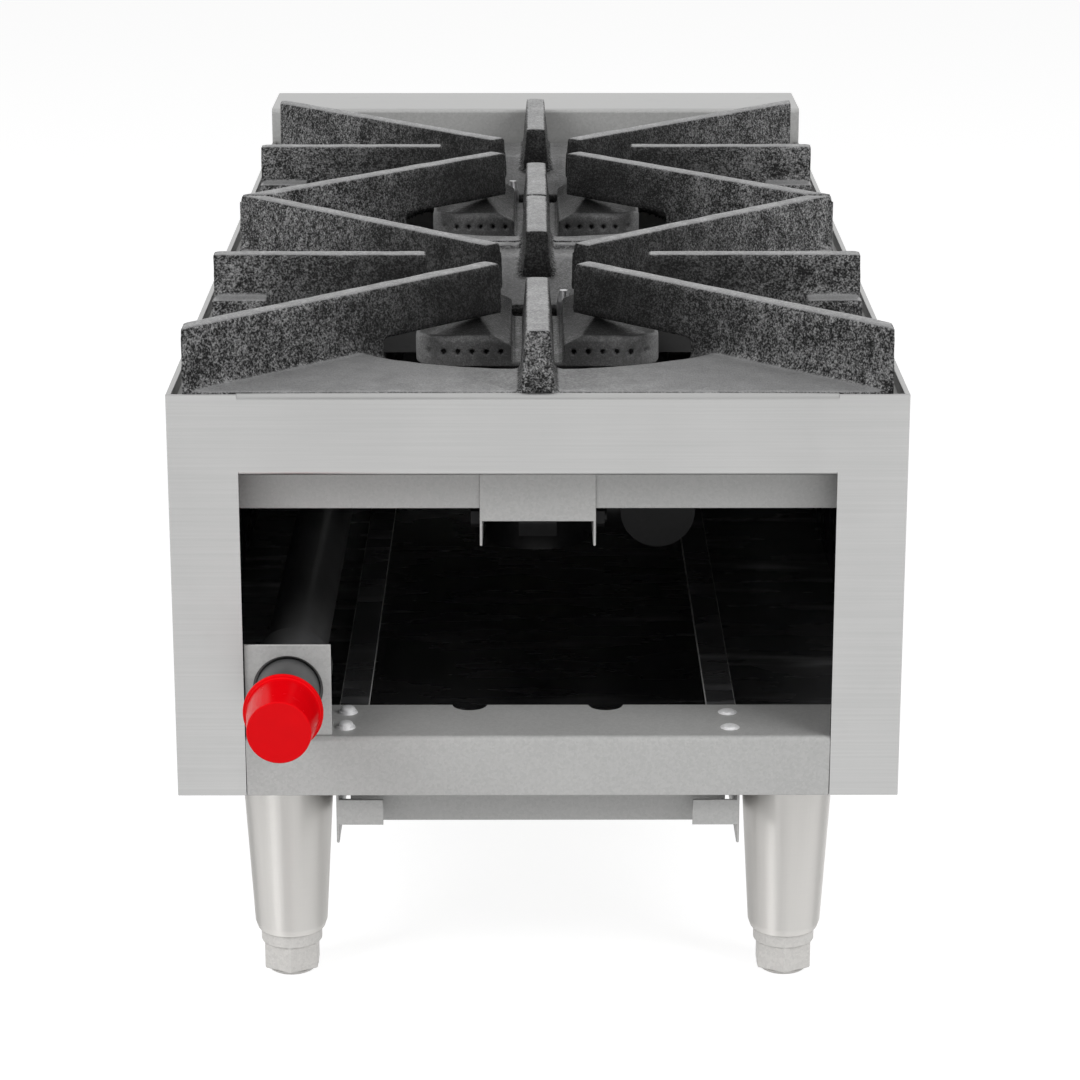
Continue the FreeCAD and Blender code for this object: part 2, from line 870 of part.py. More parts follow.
pipe_spot = (pipe_x, pipe_z)
plate_y = rear_y - d.plate_setback
plate_spans = (plate_x - d.plate_width, plate_x)
inlet_plate_sheets = join(
    "inlet_plate_sheets",
    block(plate_spans, (plate_y - d.gauge, plate_y), (bottom_rail_z, bottom_rail_z + d.plate_height)),
    block(plate_spans, (plate_y - d.plate_foot, plate_y), (bottom_rail_z, bottom_rail_z + d.gauge)),
)
plate_hole = rod(d.thread_radius + d.hole_clearance, "Y", past(plate_y - d.gauge, plate_y), pipe_spot)
node(trim("inlet_plate", inlet_plate_sheets, plate_hole))

nipple_end_y = rear_y + d.nipple_reach
nipple_inner_y = plate_y - d.nipple_inside
nipple_solid = join(
    "inlet_nipple_solid",
    rod(d.pipe_radius, "Y", (plate_y + d.seam, nipple_end_y - d.nipple_thread), pipe_spot),
    rod(d.thread_radius, "Y", (nipple_inner_y, nipple_end_y), pipe_spot),
)
nipple_bore = rod(d.pipe_bore, "Y", past(nipple_inner_y, nipple_end_y), pipe_spot)
node(trim("inlet_nipple", nipple_solid, nipple_bore))

coupling_rear_y = plate_y - d.gauge - d.seam
coupling_span = (coupling_rear_y - d.coupling_length, coupling_rear_y)
coupling_bore = d.pipe_radius + d.fit
node(trim(
    "inlet_coupling",
    rod(d.coupling_radius, "Y", coupling_span, pipe_spot),
    rod(coupling_bore, "Y", past(*coupling_span), pipe_spot),
))

elbow_y = manifold_y + d.elbow_bend
manifold_x = pipe_x - d.elbow_bend
pipe_span = (elbow_y, nipple_inner_y - d.seam)
node(trim(
    "gas_pipe",
    rod(d.pipe_radius, "Y", pipe_span, pipe_spot),
    rod(d.pipe_bore, "Y", past(*pipe_span), pipe_spot),
))
elbow_turn = Rotation(Vector(0, 0, 1), -90)
node(trim(
    "gas_elbow",
    quarter_bend(d.elbow_bend, d.elbow_radius, manifold_x, elbow_y, pipe_z, elbow_turn),
    quarter_bend(d.elbow_bend, d.pipe_bore, manifold_x, elbow_y, pipe_z, elbow_turn),
))

manifold_span = (d.manifold_inset - half, manifold_x)
manifold_spot = (manifold_y, pipe_z)
manifold_top_z = pipe_z + d.pipe_radius
neck_span = (pipe_z + d.pipe_bore, tube_z)
manifold_bores = [rod(d.pipe_bore, "X", past(*manifold_span), manifold_spot)]
for side in tube_sides.values():
    valve_spot = (side * d.tube_offset, manifold_y)
    manifold_bores.append(rod(d.valve_neck_radius + d.fit, "Z", (pipe_z, tube_z), valve_spot))
    pilot_spot = (side * d.pilot_offset, manifold_y)
    manifold_bores.append(rod(d.pilot_tube_radius + d.fit, "Z", (pipe_z, tube_z), pilot_spot))
node(trim("manifold", rod(d.pipe_radius, "X", manifold_span, manifold_spot), *manifold_bores))
node(rod(d.plug_radius, "X", (manifold_span[0] - d.plug_length, manifold_span[0]), manifold_spot))
NODES[-1].Label = "manifold_plug"

saddles = []
for saddle_x in (manifold_span[0] + d.saddle_left_inset, manifold_span[1] - d.saddle_right_inset):
    saddles.append(trim(
        "saddle",
        block(around(saddle_x, d.saddle_width), around(manifold_y, 2 * d.pipe_radius),
              (bottom_rail_z, bottom_rail_z + d.saddle_height)),
        rod(d.pipe_radius + d.fit, "X", around(saddle_x, 2 * d.saddle_width), manifold_spot),
    ))
node(group("manifold_saddles", *saddles))

# The cap's mouth faces the body and its closed end faces away from it
cap_turn = AXIS_TURNS["Y"]
node(turned(
    "inlet_cap",
    [
        (d.cap_mouth_radius - d.cap_wall, 0),
        (d.cap_flange_radius, 0),
        (d.cap_flange_radius, d.cap_flange),
        (d.cap_mouth_radius, d.cap_flange),
        (d.cap_end_radius, d.cap_length),
        (0, d.cap_length),
        (0, d.cap_length - d.cap_wall),
        (d.cap_end_radius - d.cap_wall, d.cap_length - d.cap_wall),
    ],
    pipe_x, rear_y + d.cap_start, pipe_z, cap_turn))


# Valves, knobs and burners; each burner has a front or rear set

def valve_body(label, side):
    x = side * d.tube_offset
    solid = join(
        label + "_solid",
        block(around(x, d.valve_width), (valve_front_y, valve_back_y), around(tube_z, d.valve_width)),
        rod(d.valve_neck_radius, "Z", neck_span, (x, manifold_y)),
    )
    bore = rod(d.stem_radius + d.stem_clearance, "Y",
               (valve_front_y - d.overcut, valve_front_y + d.stem_inside), (x, tube_z))
    return trim(label, solid, bore)


def knob(label, side):
    x = side * d.tube_offset
    back_y = panel_y - d.dial_thickness - d.knob_gap
    front = back_y - d.knob_length
    stem_end_y = panel_y - d.stem_reach
    solid = join(
        label + "_solid",
        frustum(d.knob_radius - d.knob_draft, d.knob_radius, "Y",
                (back_y - d.knob_skirt, back_y), (x, tube_z)),
        frustum(d.knob_hub_radius - d.knob_hub_draft, d.knob_hub_radius, "Y",
                (back_y - d.knob_hub, back_y), (x, tube_z)),
        block(around(x, d.knob_grip_width), (front, back_y - d.knob_grip_lift),
              around(tube_z, d.knob_grip_length)),
    )
    return trim(label, solid, rod(d.knob_bore, "Y", (stem_end_y, back_y + d.overcut), (x, tube_z)))


def tapered_block(low_half, high_half, z_span, y):
    """A block about X = 0 whose half width and half depth change on the way up."""
    wedge = doc.addObject("Part::Wedge", "tapered_block")
    for axis, low, high in zip("XZ", low_half, high_half):
        bind(wedge, axis + "min", -low)
        bind(wedge, axis + "max", low)
        bind(wedge, axis + "2min", -high)
        bind(wedge, axis + "2max", high)
    wedge.Ymin = 0
    bind(wedge, "Ymax", z_span[1] - z_span[0])
    place(wedge, 0, y, z_span[0], Rotation(Vector(1, 0, 0), 90))
    return wedge


def burner_head(label, y):
    """Two lobes with flat, bored faces on a common floor; the slot between them splays open at the top."""
    wide = d.head_half_width
    deep = d.head_half_depth
    side_z = head_z + d.head_side
    shoulder_z = side_z + d.head_shoulder
    peak_z = shoulder_z + d.head_rise
    full = (wide, deep)
    eased = (wide - d.head_shoulder, deep - d.head_shoulder)
    mass = join(
        label + "_mass",
        tapered_block(full, full, (head_z, side_z), y),
        tapered_block(full, eased, (side_z, shoulder_z), y),
        tapered_block(eased, (d.head_crown, d.head_crown), (shoulder_z, peak_z), y),
    )
    corner_x = wide - d.head_corner
    corner_y = deep - d.head_corner
    z_span = past(head_z, peak_z)
    outline = [
        block((-wide, wide), (y - corner_y, y + corner_y), z_span),
        block((-corner_x, corner_x), (y - deep, y + deep), z_span),
    ]
    for x in (-corner_x, corner_x):
        for corner in (y - corner_y, y + corner_y):
            outline.append(rod(d.head_corner, "Z", z_span, (x, corner)))
    spigot = rod(d.head_spigot_radius, "Z", (head_z - d.head_spigot, head_z), (as_size(0), y))
    rounded = overlap(label + "_rounded", mass, join(label + "_outline", *outline))
    slot_half = d.head_slot / 2
    cut_top_z = peak_z + d.overcut
    cuts = [
        block((-slot_half, slot_half), (y - 2 * deep, y + 2 * deep), (head_z + d.head_floor, cut_top_z)),
        tapered_block((slot_half, 2 * deep), (d.head_splay, 2 * deep),
                      (shoulder_z - d.head_splay_depth, cut_top_z), y),
    ]
    port_z = head_z + d.port_height
    for side in (-1, 1):
        face_y = between(deep - d.port_depth, deep + d.overcut, side)
        face_x = between(wide - d.port_depth, wide + d.overcut, side)
        for index in range(FACE_PORTS):
            x = slot_half + d.port_inset + index * d.port_pitch
            for spot in ((-x, port_z), (x, port_z)):
                cuts.append(rod(d.port_radius, "Y", (y + face_y[0], y + face_y[1]), spot))
        for index in range(SIDE_PORTS):
            port_y = y + (index - (SIDE_PORTS - 1) / 2) * d.port_pitch
            cuts.append(rod(d.port_radius, "X", face_x, (port_y, port_z)))
    return trim(label, join(label + "_solid", rounded, spigot), *cuts)


def burner_base(label, y, rail_y, side):
    """The casting with its tube on the left, or its mirror image with the tube on the right."""
    if side > 0:
        mirror = doc.addObject("Part::Mirroring", label)
        mirror.Label = label
        mirror.Source = burner_base(label + "_pattern", y, rail_y, -1)
        mirror.Base = Vector(0, 0, 0)
        mirror.Normal = Vector(1, 0, 0)
        return mirror
    x = -d.tube_offset
    seat_z = head_z
    rim_low_z = seat_z - d.base_rim_height
    bowl_low_z = rim_low_z - (d.base_rim_radius - d.riser_radius) / 2
    riser_low_z = tube_z - d.tube_radius - d.seam
    flare_y = mouth_y + d.mouth_length
    end_y = y + d.tube_radius + d.tube_end
    lug_end_y = rail_y - d.lug_gap
    middle = (as_size(0), y)
    tube_spot = (x, tube_z)
    solid = join(
        label + "_solid",
        rod(d.mouth_radius, "Y", (mouth_y, flare_y), tube_spot),
        frustum(d.mouth_radius, d.tube_radius, "Y", (flare_y, flare_y + d.mouth_flare), tube_spot),
        rod(d.tube_radius, "Y", (flare_y, end_y), tube_spot),
        rod(d.cross_radius, "X", (x, as_size(0)), (y, tube_z)),
        rod(d.riser_radius, "Z", (riser_low_z, bowl_low_z), middle),
        frustum(d.riser_radius, d.base_rim_radius, "Z", (bowl_low_z, rim_low_z), middle),
        rod(d.base_rim_radius, "Z", (rim_low_z, seat_z), middle),
        block(around(as_size(0), d.lug_width), (y, lug_end_y), around(bolt_z, d.lug_depth)),
    )
    hollow = join(
        label + "_hollow",
        frustum(d.mouth_bore, d.tube_bore, "Y",
                (mouth_y - d.overcut / 2, flare_y + d.mouth_flare), tube_spot),
        rod(d.tube_bore, "Y", (flare_y, end_y - d.tube_end), tube_spot),
        rod(d.cross_bore, "X", (x, as_size(0)), (y, tube_z)),
        rod(d.riser_bore, "Z", (riser_low_z + d.tube_end, seat_z), middle),
        rod(d.base_recess_radius, "Z", past(seat_z - d.head_spigot, seat_z), middle),
    )
    bolt_hole = rod(d.bolt_radius + d.seam, "X", around(as_size(0), 2 * d.lug_width),
                    (lug_end_y - d.bolt_inset, bolt_z))
    return trim(label, solid, hollow, bolt_hole)


def hanger(label, rail_y):
    """A U shaped bracket on the rear of a cross rail; its cheeks reach forward under the rail."""
    web_span = (rail_low_z - d.hanger_web_drop, rail_low_z + d.hanger_web_rise)
    cheek_low_z = rail_low_z - d.hanger_drop
    cheek_span = (cheek_low_z, cheek_low_z + d.hanger_depth)
    outside = d.hanger_width / 2
    pieces = [block((-outside, outside), (rail_y, rail_y + d.gauge), web_span)]
    for side in (-1, 1):
        pieces.append(block(between(outside - d.gauge, outside, side),
                            (rail_y - d.hanger_reach, rail_y + d.gauge), cheek_span))
    hole = rod(d.bolt_radius + d.seam, "X", around(as_size(0), 2 * d.hanger_width),
               (hanger_bolt_y(rail_y), bolt_z))
    return trim(label, join(label + "_sheets", *pieces), hole)


def hanger_bolt_y(rail_y):
    return rail_y - d.lug_gap - d.bolt_inset


def air_shutter(label, side):
    x = side * d.tube_offset
    rim_bore = d.mouth_radius + d.shutter_clearance
    rim_radius = rim_bore + d.gauge
    disc_y = mouth_y - d.shutter_clearance
    spot = (x, tube_z)
    cup = rod(rim_radius, "Y", (disc_y - d.gauge, mouth_y + d.shutter_rim), spot)
    cuts = [
        rod(rim_bore, "Y", (disc_y, mouth_y + d.shutter_rim + d.overcut), spot),
        rod(d.shutter_hole, "Y", past(disc_y - d.gauge, disc_y), spot),
    ]
    for index in range(SHUTTER_PORTS):
        direction = Rotation(Vector(0, 0, 1), index * 360 / SHUTTER_PORTS).multVec(Vector(1, 0, 0))
        port_x = x + d.shutter_port_circle * direction.x
        port_spot = (port_x, tube_z + d.shutter_port_circle * direction.y)
        cuts.append(rod(d.shutter_port_radius, "Y", past(disc_y - d.gauge, disc_y), port_spot))
    return trim(label, cup, *cuts)


def fin(start, end, low_z, high_z, low_width, angle, y):
    """A fin that runs outward from the burner's middle and is narrower at the top."""
    wedge = doc.addObject("Part::Wedge", "fin")
    for edge in ("Xmin", "X2min"):
        bind(wedge, edge, start)
    for edge in ("Xmax", "X2max"):
        bind(wedge, edge, end)
    wedge.Ymin = 0
    bind(wedge, "Ymax", high_z - low_z)
    bind(wedge, "Zmin", -low_width / 2)
    bind(wedge, "Zmax", low_width / 2)
    bind(wedge, "Z2min", -d.fin_top_width / 2)
    bind(wedge, "Z2max", d.fin_top_width / 2)
    turn = Rotation(Vector(0, 0, 1), angle) * Rotation(Vector(1, 0, 0), 90)
    place(wedge, 0, y, low_z, turn)
    return wedge


def grate(label, y, outward):
    """One casting: plate, bowl and eight fins. outward is 1 where the long side faces +Y."""
    grate_x = hem_x - d.grate_side_gap
    if outward > 0:
        y_span = (y - d.grate_inner_reach, y + d.grate_outer_reach)
        bar_span = (y_span[0], y_span[0] + d.edge_bar_width)
    else:
        y_span = (y - d.grate_outer_reach, y + d.grate_inner_reach)
        bar_span = (y_span[1] - d.edge_bar_width, y_span[1])
    plate_z = rest_z + d.grate_plate
    fin_top_z = plate_z + d.fin_height
    bar_low_z = fin_top_z - d.fin_bar_height
    bowl_low_z = rest_z - d.bowl_drop
    middle = (as_size(0), y)
    reach = d.grate_outer_reach + grate_x
    plate = join(
        label + "_plate",
        block((-grate_x, grate_x), y_span, (rest_z, plate_z)),
        frustum(d.bowl_hole_radius, d.bowl_rim_radius, "Z", (bowl_low_z, rest_z), middle),
    )
    bowl_top_z = bowl_low_z + d.grate_plate
    bowl = trim(
        label + "_bowl",
        plate,
        frustum(d.bowl_hole_radius, d.bowl_rim_radius, "Z", (bowl_top_z, plate_z), middle),
        rod(d.bowl_hole_radius, "Z", past(bowl_low_z, bowl_top_z), middle),
    )
    fins = [block((-grate_x, grate_x), bar_span, (rest_z, plate_z + d.edge_bar_rise))]
    for index in range(FIN_COUNT):
        angle = index * 360 / FIN_COUNT
        start = d.straight_fin_start if index % 2 == 0 else d.corner_fin_start
        fins.append(fin(start, reach, bar_low_z, fin_top_z, d.fin_bar_width, angle, y))
        fins.append(fin(d.fin_web_start, reach, rest_z, fin_top_z, d.fin_base_width, angle, y))
    for side in (-1, 1):
        fins.append(block(between(grate_x - d.gusset_length, grate_x, side),
                          (y, y + d.fin_base_width / 2 + d.gusset_width),
                          (rest_z, plate_z + d.gusset_height)))
    envelope = block((-grate_x, grate_x), y_span, past(bowl_low_z, fin_top_z))
    return overlap(label, join(label + "_casting", bowl, *fins), envelope)


def pilot_tube(label, y, side):
    """From the pilot valve along the floor of the burner box, then up beside the head."""
    x = side * d.pilot_offset
    pilot_y = y - d.pilot_reach
    low_z = floor_z + d.pilot_tube_height
    tip_z = head_z - d.pilot_tip_drop
    bend_y = pilot_y - d.pilot_bend
    valve_y = manifold_y + d.pilot_valve_length / 2
    # The bend starts under its upright leg and ends on the level run
    turn = Rotation(Vector(0, 1, 0), Vector(0, 0, -1), Vector(-1, 0, 0), "XYZ")
    return join(
        label,
        rod(d.pilot_tube_radius, "Y", (valve_y, bend_y), (x, low_z)),
        quarter_bend(d.pilot_bend, d.pilot_tube_radius, x, bend_y, low_z + d.pilot_bend, turn),
        rod(d.pilot_tube_radius, "Z", (low_z + d.pilot_bend, tip_z), (x, pilot_y)),
    )


def pilot_tip(label, y, side):
    spot = (side * d.pilot_offset, y - d.pilot_reach)
    tip_z = head_z - d.pilot_tip_drop
    hood_z = tip_z + d.pilot_hood
    return join(
        label,
        rod(d.pilot_tip_radius, "Z", (tip_z, hood_z), spot),
        frustum(d.pilot_tip_radius, d.pilot_nose_radius, "Z", (hood_z, tip_z + d.pilot_tip_length), spot),
    )


def pilot_bracket(label, y, side):
    x = side * d.pilot_offset
    strap_z = head_z - d.base_rim_height + d.strap_lift
    near = d.base_rim_radius - d.strap_tuck
    far = d.pilot_reach + 2 * d.pilot_tube_radius
    y_span = (y - far, y - near)
    strap = block(around(x, d.strap_width), y_span, (strap_z, strap_z + d.strap_thickness))
    hole_span = past(strap_z, strap_z + d.strap_thickness)
    hole = rod(d.pilot_tube_radius + d.seam, "Z", hole_span, (x, y - d.pilot_reach))
    return trim(label, strap, hole)


# Each pilot stands ahead of its own burner head; the grates meet between the two burners
grate_ends = {"front": -1, "rear": 1}
pilot_valves = []
pilot_brackets = []
orifices = []
dials = []
bolts = []
for name, side in tube_sides.items():
    burner_y = burner_ys[name]
    x = side * d.tube_offset
    rail_y = inner_rail_y if name == "rear" else middle_rail_y
    node(valve_body(name + "_valve_body", side))
    stem_span = (panel_y - d.stem_reach, valve_front_y + d.stem_inside)
    stem = node(rod(d.stem_radius, "Y", stem_span, (x, tube_z)))
    stem.Label = name + "_valve_stem"
    node(knob(name + "_knob", side))
    node(burner_base(name + "_burner_base", burner_y, rail_y, side))
    node(burner_head(name + "_burner_head", burner_y))
    node(hanger(name + "_burner_bracket", rail_y))
    node(air_shutter(name + "_air_shutter", side))
    node(grate(name + "_grate", burner_y, grate_ends[name]))
    node(pilot_tube(name + "_pilot_tube", burner_y, side))
    node(pilot_tip(name + "_pilot_tip", burner_y, side))
    pilot_brackets.append(pilot_bracket("pilot_bracket", burner_y, side))
    pilot_x = side * d.pilot_offset
    block_z = manifold_top_z + d.fit
    pilot_valves.append(join(
        "pilot_valve",
        block(around(pilot_x, d.pilot_valve_width), around(manifold_y, d.pilot_valve_length),
              (block_z, block_z + d.pilot_valve_height)),
        rod(d.pilot_tube_radius, "Z", (pipe_z + d.pipe_bore, block_z), (pilot_x, manifold_y)),
    ))
    orifice_span = (valve_back_y, valve_back_y + d.orifice_length)
    orifices.append(hexagon(d.orifice_radius, "Y", orifice_span, (x, tube_z)))
    dial_span = (panel_y - d.dial_thickness, panel_y)
    dials.append(trim(
        "dial",
        rod(d.dial_radius, "Y", dial_span, (x, tube_z)),
        rod(d.stem_hole, "Y", past(*dial_span), (x, tube_z)),
    ))
    bolt_spot = (hanger_bolt_y(rail_y), bolt_z)
    cheek = d.hanger_width / 2
    bolts.append(join(
        "burner_bolt",
        rod(d.bolt_radius, "X", (-cheek - d.bolt_tail, cheek), bolt_spot),
        hexagon(d.bolt_hex_radius, "X", (cheek, cheek + d.bolt_head), bolt_spot),
        hexagon(d.bolt_hex_radius, "X", (-cheek - d.bolt_head, -cheek), bolt_spot),
    ))
node(group("pilot_valves", *pilot_valves))
node(group("pilot_brackets", *pilot_brackets))
node(group("orifices", *orifices))
node(group("dial_plates", *dials))
node(group("burner_bolts", *bolts))

doc.recompute()
faults = []
for thing in doc.Objects:
    if "Invalid" in thing.State or "Error" in thing.State:
        faults.append(f"{thing.Label}: {thing.State}")
for piece in NODES:
    if piece.Shape.isNull() or not piece.Shape.isValid() or not piece.Shape.Solids:
        faults.append(f"{piece.Label}: no valid solid")
if faults:
    raise RuntimeError("; ".join(faults))

os.makedirs("parts", exist_ok=True)
for piece in NODES:
    piece.Shape.exportStep(f"parts/{piece.Label}.step")
    print(piece.Label, len(piece.Shape.Solids), round(piece.Shape.Volume))
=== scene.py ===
import json
import math

import bmesh
import bpy
from bpy.props import FloatProperty, FloatVectorProperty, IntProperty, PointerProperty
from mathutils import Matrix, Vector, noise

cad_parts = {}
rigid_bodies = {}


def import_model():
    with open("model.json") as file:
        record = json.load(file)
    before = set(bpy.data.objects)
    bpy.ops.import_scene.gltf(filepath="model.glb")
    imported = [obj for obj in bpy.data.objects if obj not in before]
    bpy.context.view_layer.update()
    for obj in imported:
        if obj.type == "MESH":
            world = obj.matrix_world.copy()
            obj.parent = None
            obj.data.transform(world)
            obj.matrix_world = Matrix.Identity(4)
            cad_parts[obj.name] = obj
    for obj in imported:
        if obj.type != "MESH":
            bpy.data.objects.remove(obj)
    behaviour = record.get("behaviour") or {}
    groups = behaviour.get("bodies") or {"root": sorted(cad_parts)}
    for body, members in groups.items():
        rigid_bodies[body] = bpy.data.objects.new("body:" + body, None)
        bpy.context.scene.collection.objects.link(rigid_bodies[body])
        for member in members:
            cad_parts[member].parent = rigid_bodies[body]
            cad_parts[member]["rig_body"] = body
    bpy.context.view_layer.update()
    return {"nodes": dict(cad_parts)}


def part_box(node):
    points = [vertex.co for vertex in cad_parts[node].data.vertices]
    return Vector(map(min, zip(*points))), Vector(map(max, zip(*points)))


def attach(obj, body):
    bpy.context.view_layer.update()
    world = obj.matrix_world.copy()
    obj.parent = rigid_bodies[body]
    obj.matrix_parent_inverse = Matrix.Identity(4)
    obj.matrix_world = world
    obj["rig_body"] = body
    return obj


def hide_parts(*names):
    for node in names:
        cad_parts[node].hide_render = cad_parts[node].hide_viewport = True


bl_info = {
    "name": "Gas hotplate",
    "version": (1, 0, 0),
    "blender": (4, 5, 0),
    "location": "View3D > Sidebar > Hotplate",
    "description": "Finishes and fine detail of a countertop gas hotplate with two burners",
    "category": "Object",
}

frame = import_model()
CORNERS = ("rear_left", "rear_right", "front_left", "front_right")
SETS = ("front", "rear")
# Faces that meet at less than this are shaded as one
SMOOTH_ANGLE = math.radians(40)
# Edges that turn more than this are rounded, apart from short ones
SHARP_ANGLE = math.radians(35)
SHORT_EDGE = 0.003
# Share of a face's normal that lies along an axis when the face looks that way, roughly or squarely
FACING = 0.7
SQUARE_ON = 0.99
# Places closer than this count as one
NEAR = 0.001
# A little more than the thickness of a sheet, and than the height of a fold's bend
SKIN = 0.002
FOLD = 0.004


# Sizes and colours that a user would change

def length(name, description, default):
    return FloatProperty(name=name, description=description, default=default, min=0.0, unit="LENGTH",
                         precision=5)


def fraction(name, description, default):
    return FloatProperty(name=name, description=description, default=default, min=0.0, max=1.0,
                         subtype="FACTOR")


def whole(name, description, default, least=0):
    return IntProperty(name=name, description=description, default=default, min=least)


def amount(name, description, default, unit="NONE"):
    return FloatProperty(name=name, description=description, default=default, min=0.0, unit=unit)


def angle(name, description, default):
    return FloatProperty(name=name, description=description, default=default, subtype="ANGLE",
                         unit="ROTATION")


def position(name, description, default):
    return FloatVectorProperty(name=name, description=description, default=default, size=3,
                               subtype="TRANSLATION", unit="LENGTH")


def colour(name, description, default):
    return FloatVectorProperty(name=name, description=description, default=default, min=0.0, max=1.0,
                               size=3, subtype="COLOR")


class HotplateEdges(bpy.types.PropertyGroup):
    """How far each kind of edge is rounded."""

    sheet: length("Sheet edge", "Rounding of a cut edge of folded sheet", 0.0004)
    tray: length("Tray edge", "Rounding of the drip tray's edges", 0.0004)
    machined: length("Machined edge", "Rounding of fittings, valves and nuts", 0.0006)
    leg: length("Leg edge", "Rounding of the legs' and feet's turned edges", 0.0007)
    cap: length("Cap edge", "Rounding of the inlet cap's moulded edges", 0.0006)
    knob: length("Knob edge", "Rounding of the knobs' moulded edges", 0.0014)
    seam: length("Seam", "Gap between two sheets that is closed where they meet flush", 0.0002)
    tuck: length("Tuck", "How far the bottom rail's flange runs behind the side flanges", 0.004)


class HotplateCasting(bpy.types.PropertyGroup):
    """The sand-cast surface of the grates and burner heads."""

    grain: length("Grain", "Size of the faces that a grate is rebuilt from", 0.00164)
    head_grain: length("Head grain", "Size of the faces that a burner head is rebuilt from", 0.0009)
    wave_height: length("Wave height", "How far the cast faces wander from flat", 0.00022)
    wave_length: length("Wave length", "Distance between the waves of a cast face", 0.011)
    softening: whole("Softening", "Smoothing passes over a grate's edges", 1)
    head_softening: whole("Head softening", "Smoothing passes over a head's edges", 3)
    edge_pull: fraction("Edge pull", "How strongly one smoothing pass pulls an edge in", 0.5)


class HotplateFasteners(bpy.types.PropertyGroup):
    """Screws, the inlet's thread and the marks round the knobs."""

    washer_height: length("Washer height", "Thickness of the flange under a screw head", 0.0009)
    head_share: fraction("Head share", "Width of a screw head as a share of its flange", 0.8)
    shank_share: fraction("Shank share", "Width of a screw's shank as a share of its flange", 0.45)
    low_head: fraction("Low head", "Height of the low screw heads as a share of the others", 0.35)
    thread_pitch: length("Thread pitch", "Distance from one crest of the pipe thread to the next", 0.0018)
    thread_crest: length("Thread crest", "Radius of the rounded crest of the pipe thread", 0.0004)
    thread_sink: length("Thread sink", "How far the crest's middle lies under the pipe's wall", 0.0006)
    tick_count: whole("Ticks", "Marks round each knob", 7, 2)
    tick_length: length("Tick length", "Length of a mark on the dial", 0.0032)
    tick_width: length("Tick width", "Width of a mark on the dial", 0.0008)
    tick_gap: length("Tick gap", "From the dial's rim to the marks", 0.0006)
    mark_height: length("Mark height", "Thickness of a dial mark, half that of a knob's line", 0.0003)
    pointer_length: length("Pointer length", "Length of the line on a knob's grip", 0.013)
    pointer_width: length("Pointer width", "Width of the line on a knob's grip", 0.0018)
    pointer_gap: length("Pointer gap", "From the knob's rim to the line on its grip", 0.007)


class HotplateColours(bpy.types.PropertyGroup):
    """Base colours of the finishes."""

    stainless: colour("Stainless", "Satin stainless sheet", (0.475, 0.475, 0.471))
    galvanised: colour("Galvanised", "Zinc coated sheet with a faint spangle", (0.47, 0.47, 0.463))
    # Painted shade: a dark coat that stands in for the shade on the inner faces
    inside: colour("Inside", "Dark heat-proof coat on the inner faces", (0.030, 0.030, 0.031))
    cast_iron: colour("Cast iron", "Grates and bowls", (0.012, 0.012, 0.0123))
    # Partly cast grain and partly painted glints: raised grains paler than the iron
    cast_grain_and_glint: colour("Cast grain", "Raised grains of the cast surface", (0.50, 0.50, 0.502))
    # Painted light: upward faces paler as the light falls on them, partly also rubbed and dusted
    cast_top_painted_light: colour("Cast top", "Upward faces, rubbed and dusted paler", (0.24, 0.24, 0.242))
    # Soot and painted shade: burnt iron, darkened further where the burners stand in shade
    soot_and_shade: colour("Soot", "Burnt iron close to the flames", (0.014, 0.014, 0.014))
    burner_iron: colour("Burner iron", "Burner heads", (0.20, 0.20, 0.2005))
    mixer_iron: colour("Mixer iron", "Burner bases and mixing tubes", (0.012, 0.012, 0.0125))
    black_pipe: colour("Black pipe", "Gas pipe and manifold", (0.050, 0.050, 0.051))
    cap: colour("Cap", "Moulded cap on the gas inlet", (0.82, 0.001, 0.0045))
    knob: colour("Knob", "Moulded knobs", (0.016, 0.016, 0.017))
    mark: colour("Mark", "Paint of the marks on dials and knobs", (0.82, 0.82, 0.80))
    brass: colour("Brass", "Valves and orifices", (0.60, 0.43, 0.17))
    aluminium: colour("Aluminium", "Pilot tubes", (0.68, 0.68, 0.69))
    leg: colour("Leg", "Legs and feet", (0.72, 0.705, 0.682))
    zinc: colour("Zinc", "Screws, nuts and bolts", (0.90, 0.90, 0.92))


class HotplateStage(bpy.types.PropertyGroup):
    """Floor, light and camera."""

    floor: colour("Floor", "Colour of the floor", (0.46, 0.46, 0.46))
    floor_half: length("Floor half", "From the middle of the floor to its edge", 12.0)
    floor_lift: fraction("Floor lift", "Brightness that the floor shows of its own", 0.78)
    card: fraction("Card", "Brightness of the grey cards that bright metal mirrors", 0.12)
    strip: amount("Strip", "Brightness of the pale strip that bright metal mirrors", 5.0)
    card_away: length("Card distance", "From the part to the cards", 2.6)
    card_height: length("Card height", "Height of the grey cards", 2.2)
    strip_height: length("Strip height", "Height of the pale strip", 0.5)
    fill: amount("Fill", "Strength of the light from all round", 0.32)
    side_light: amount("Side light", "Power of each lamp beside the camera", 35.0, "POWER")
    lamp_place: position("Lamp place", "Where the left lamp stands; the right mirrors it", (1.7, 1.4, 1.6))
    lamp_size: length("Lamp size", "Width of each lamp", 1.4)
    lamp_aim: length("Lamp aim", "Height that the lamps look at", 0.15)
    camera_place: position("Camera place", "Where the camera stands", (0.0031, 1.6518, 0.6123))
    camera_pitch: angle("Camera pitch", "How far the camera looks down", math.radians(16.634))
    camera_turn: angle("Camera turn", "How far the camera looks aside", 0.0025)
    camera_lens: amount("Camera lens", "Focal length in millimetres", 111.92)
    camera_shift: FloatVectorProperty(name="Camera shift", description="Lens shift", size=2,
                                      default=(0.0014, 0.0003))


# Node graphs

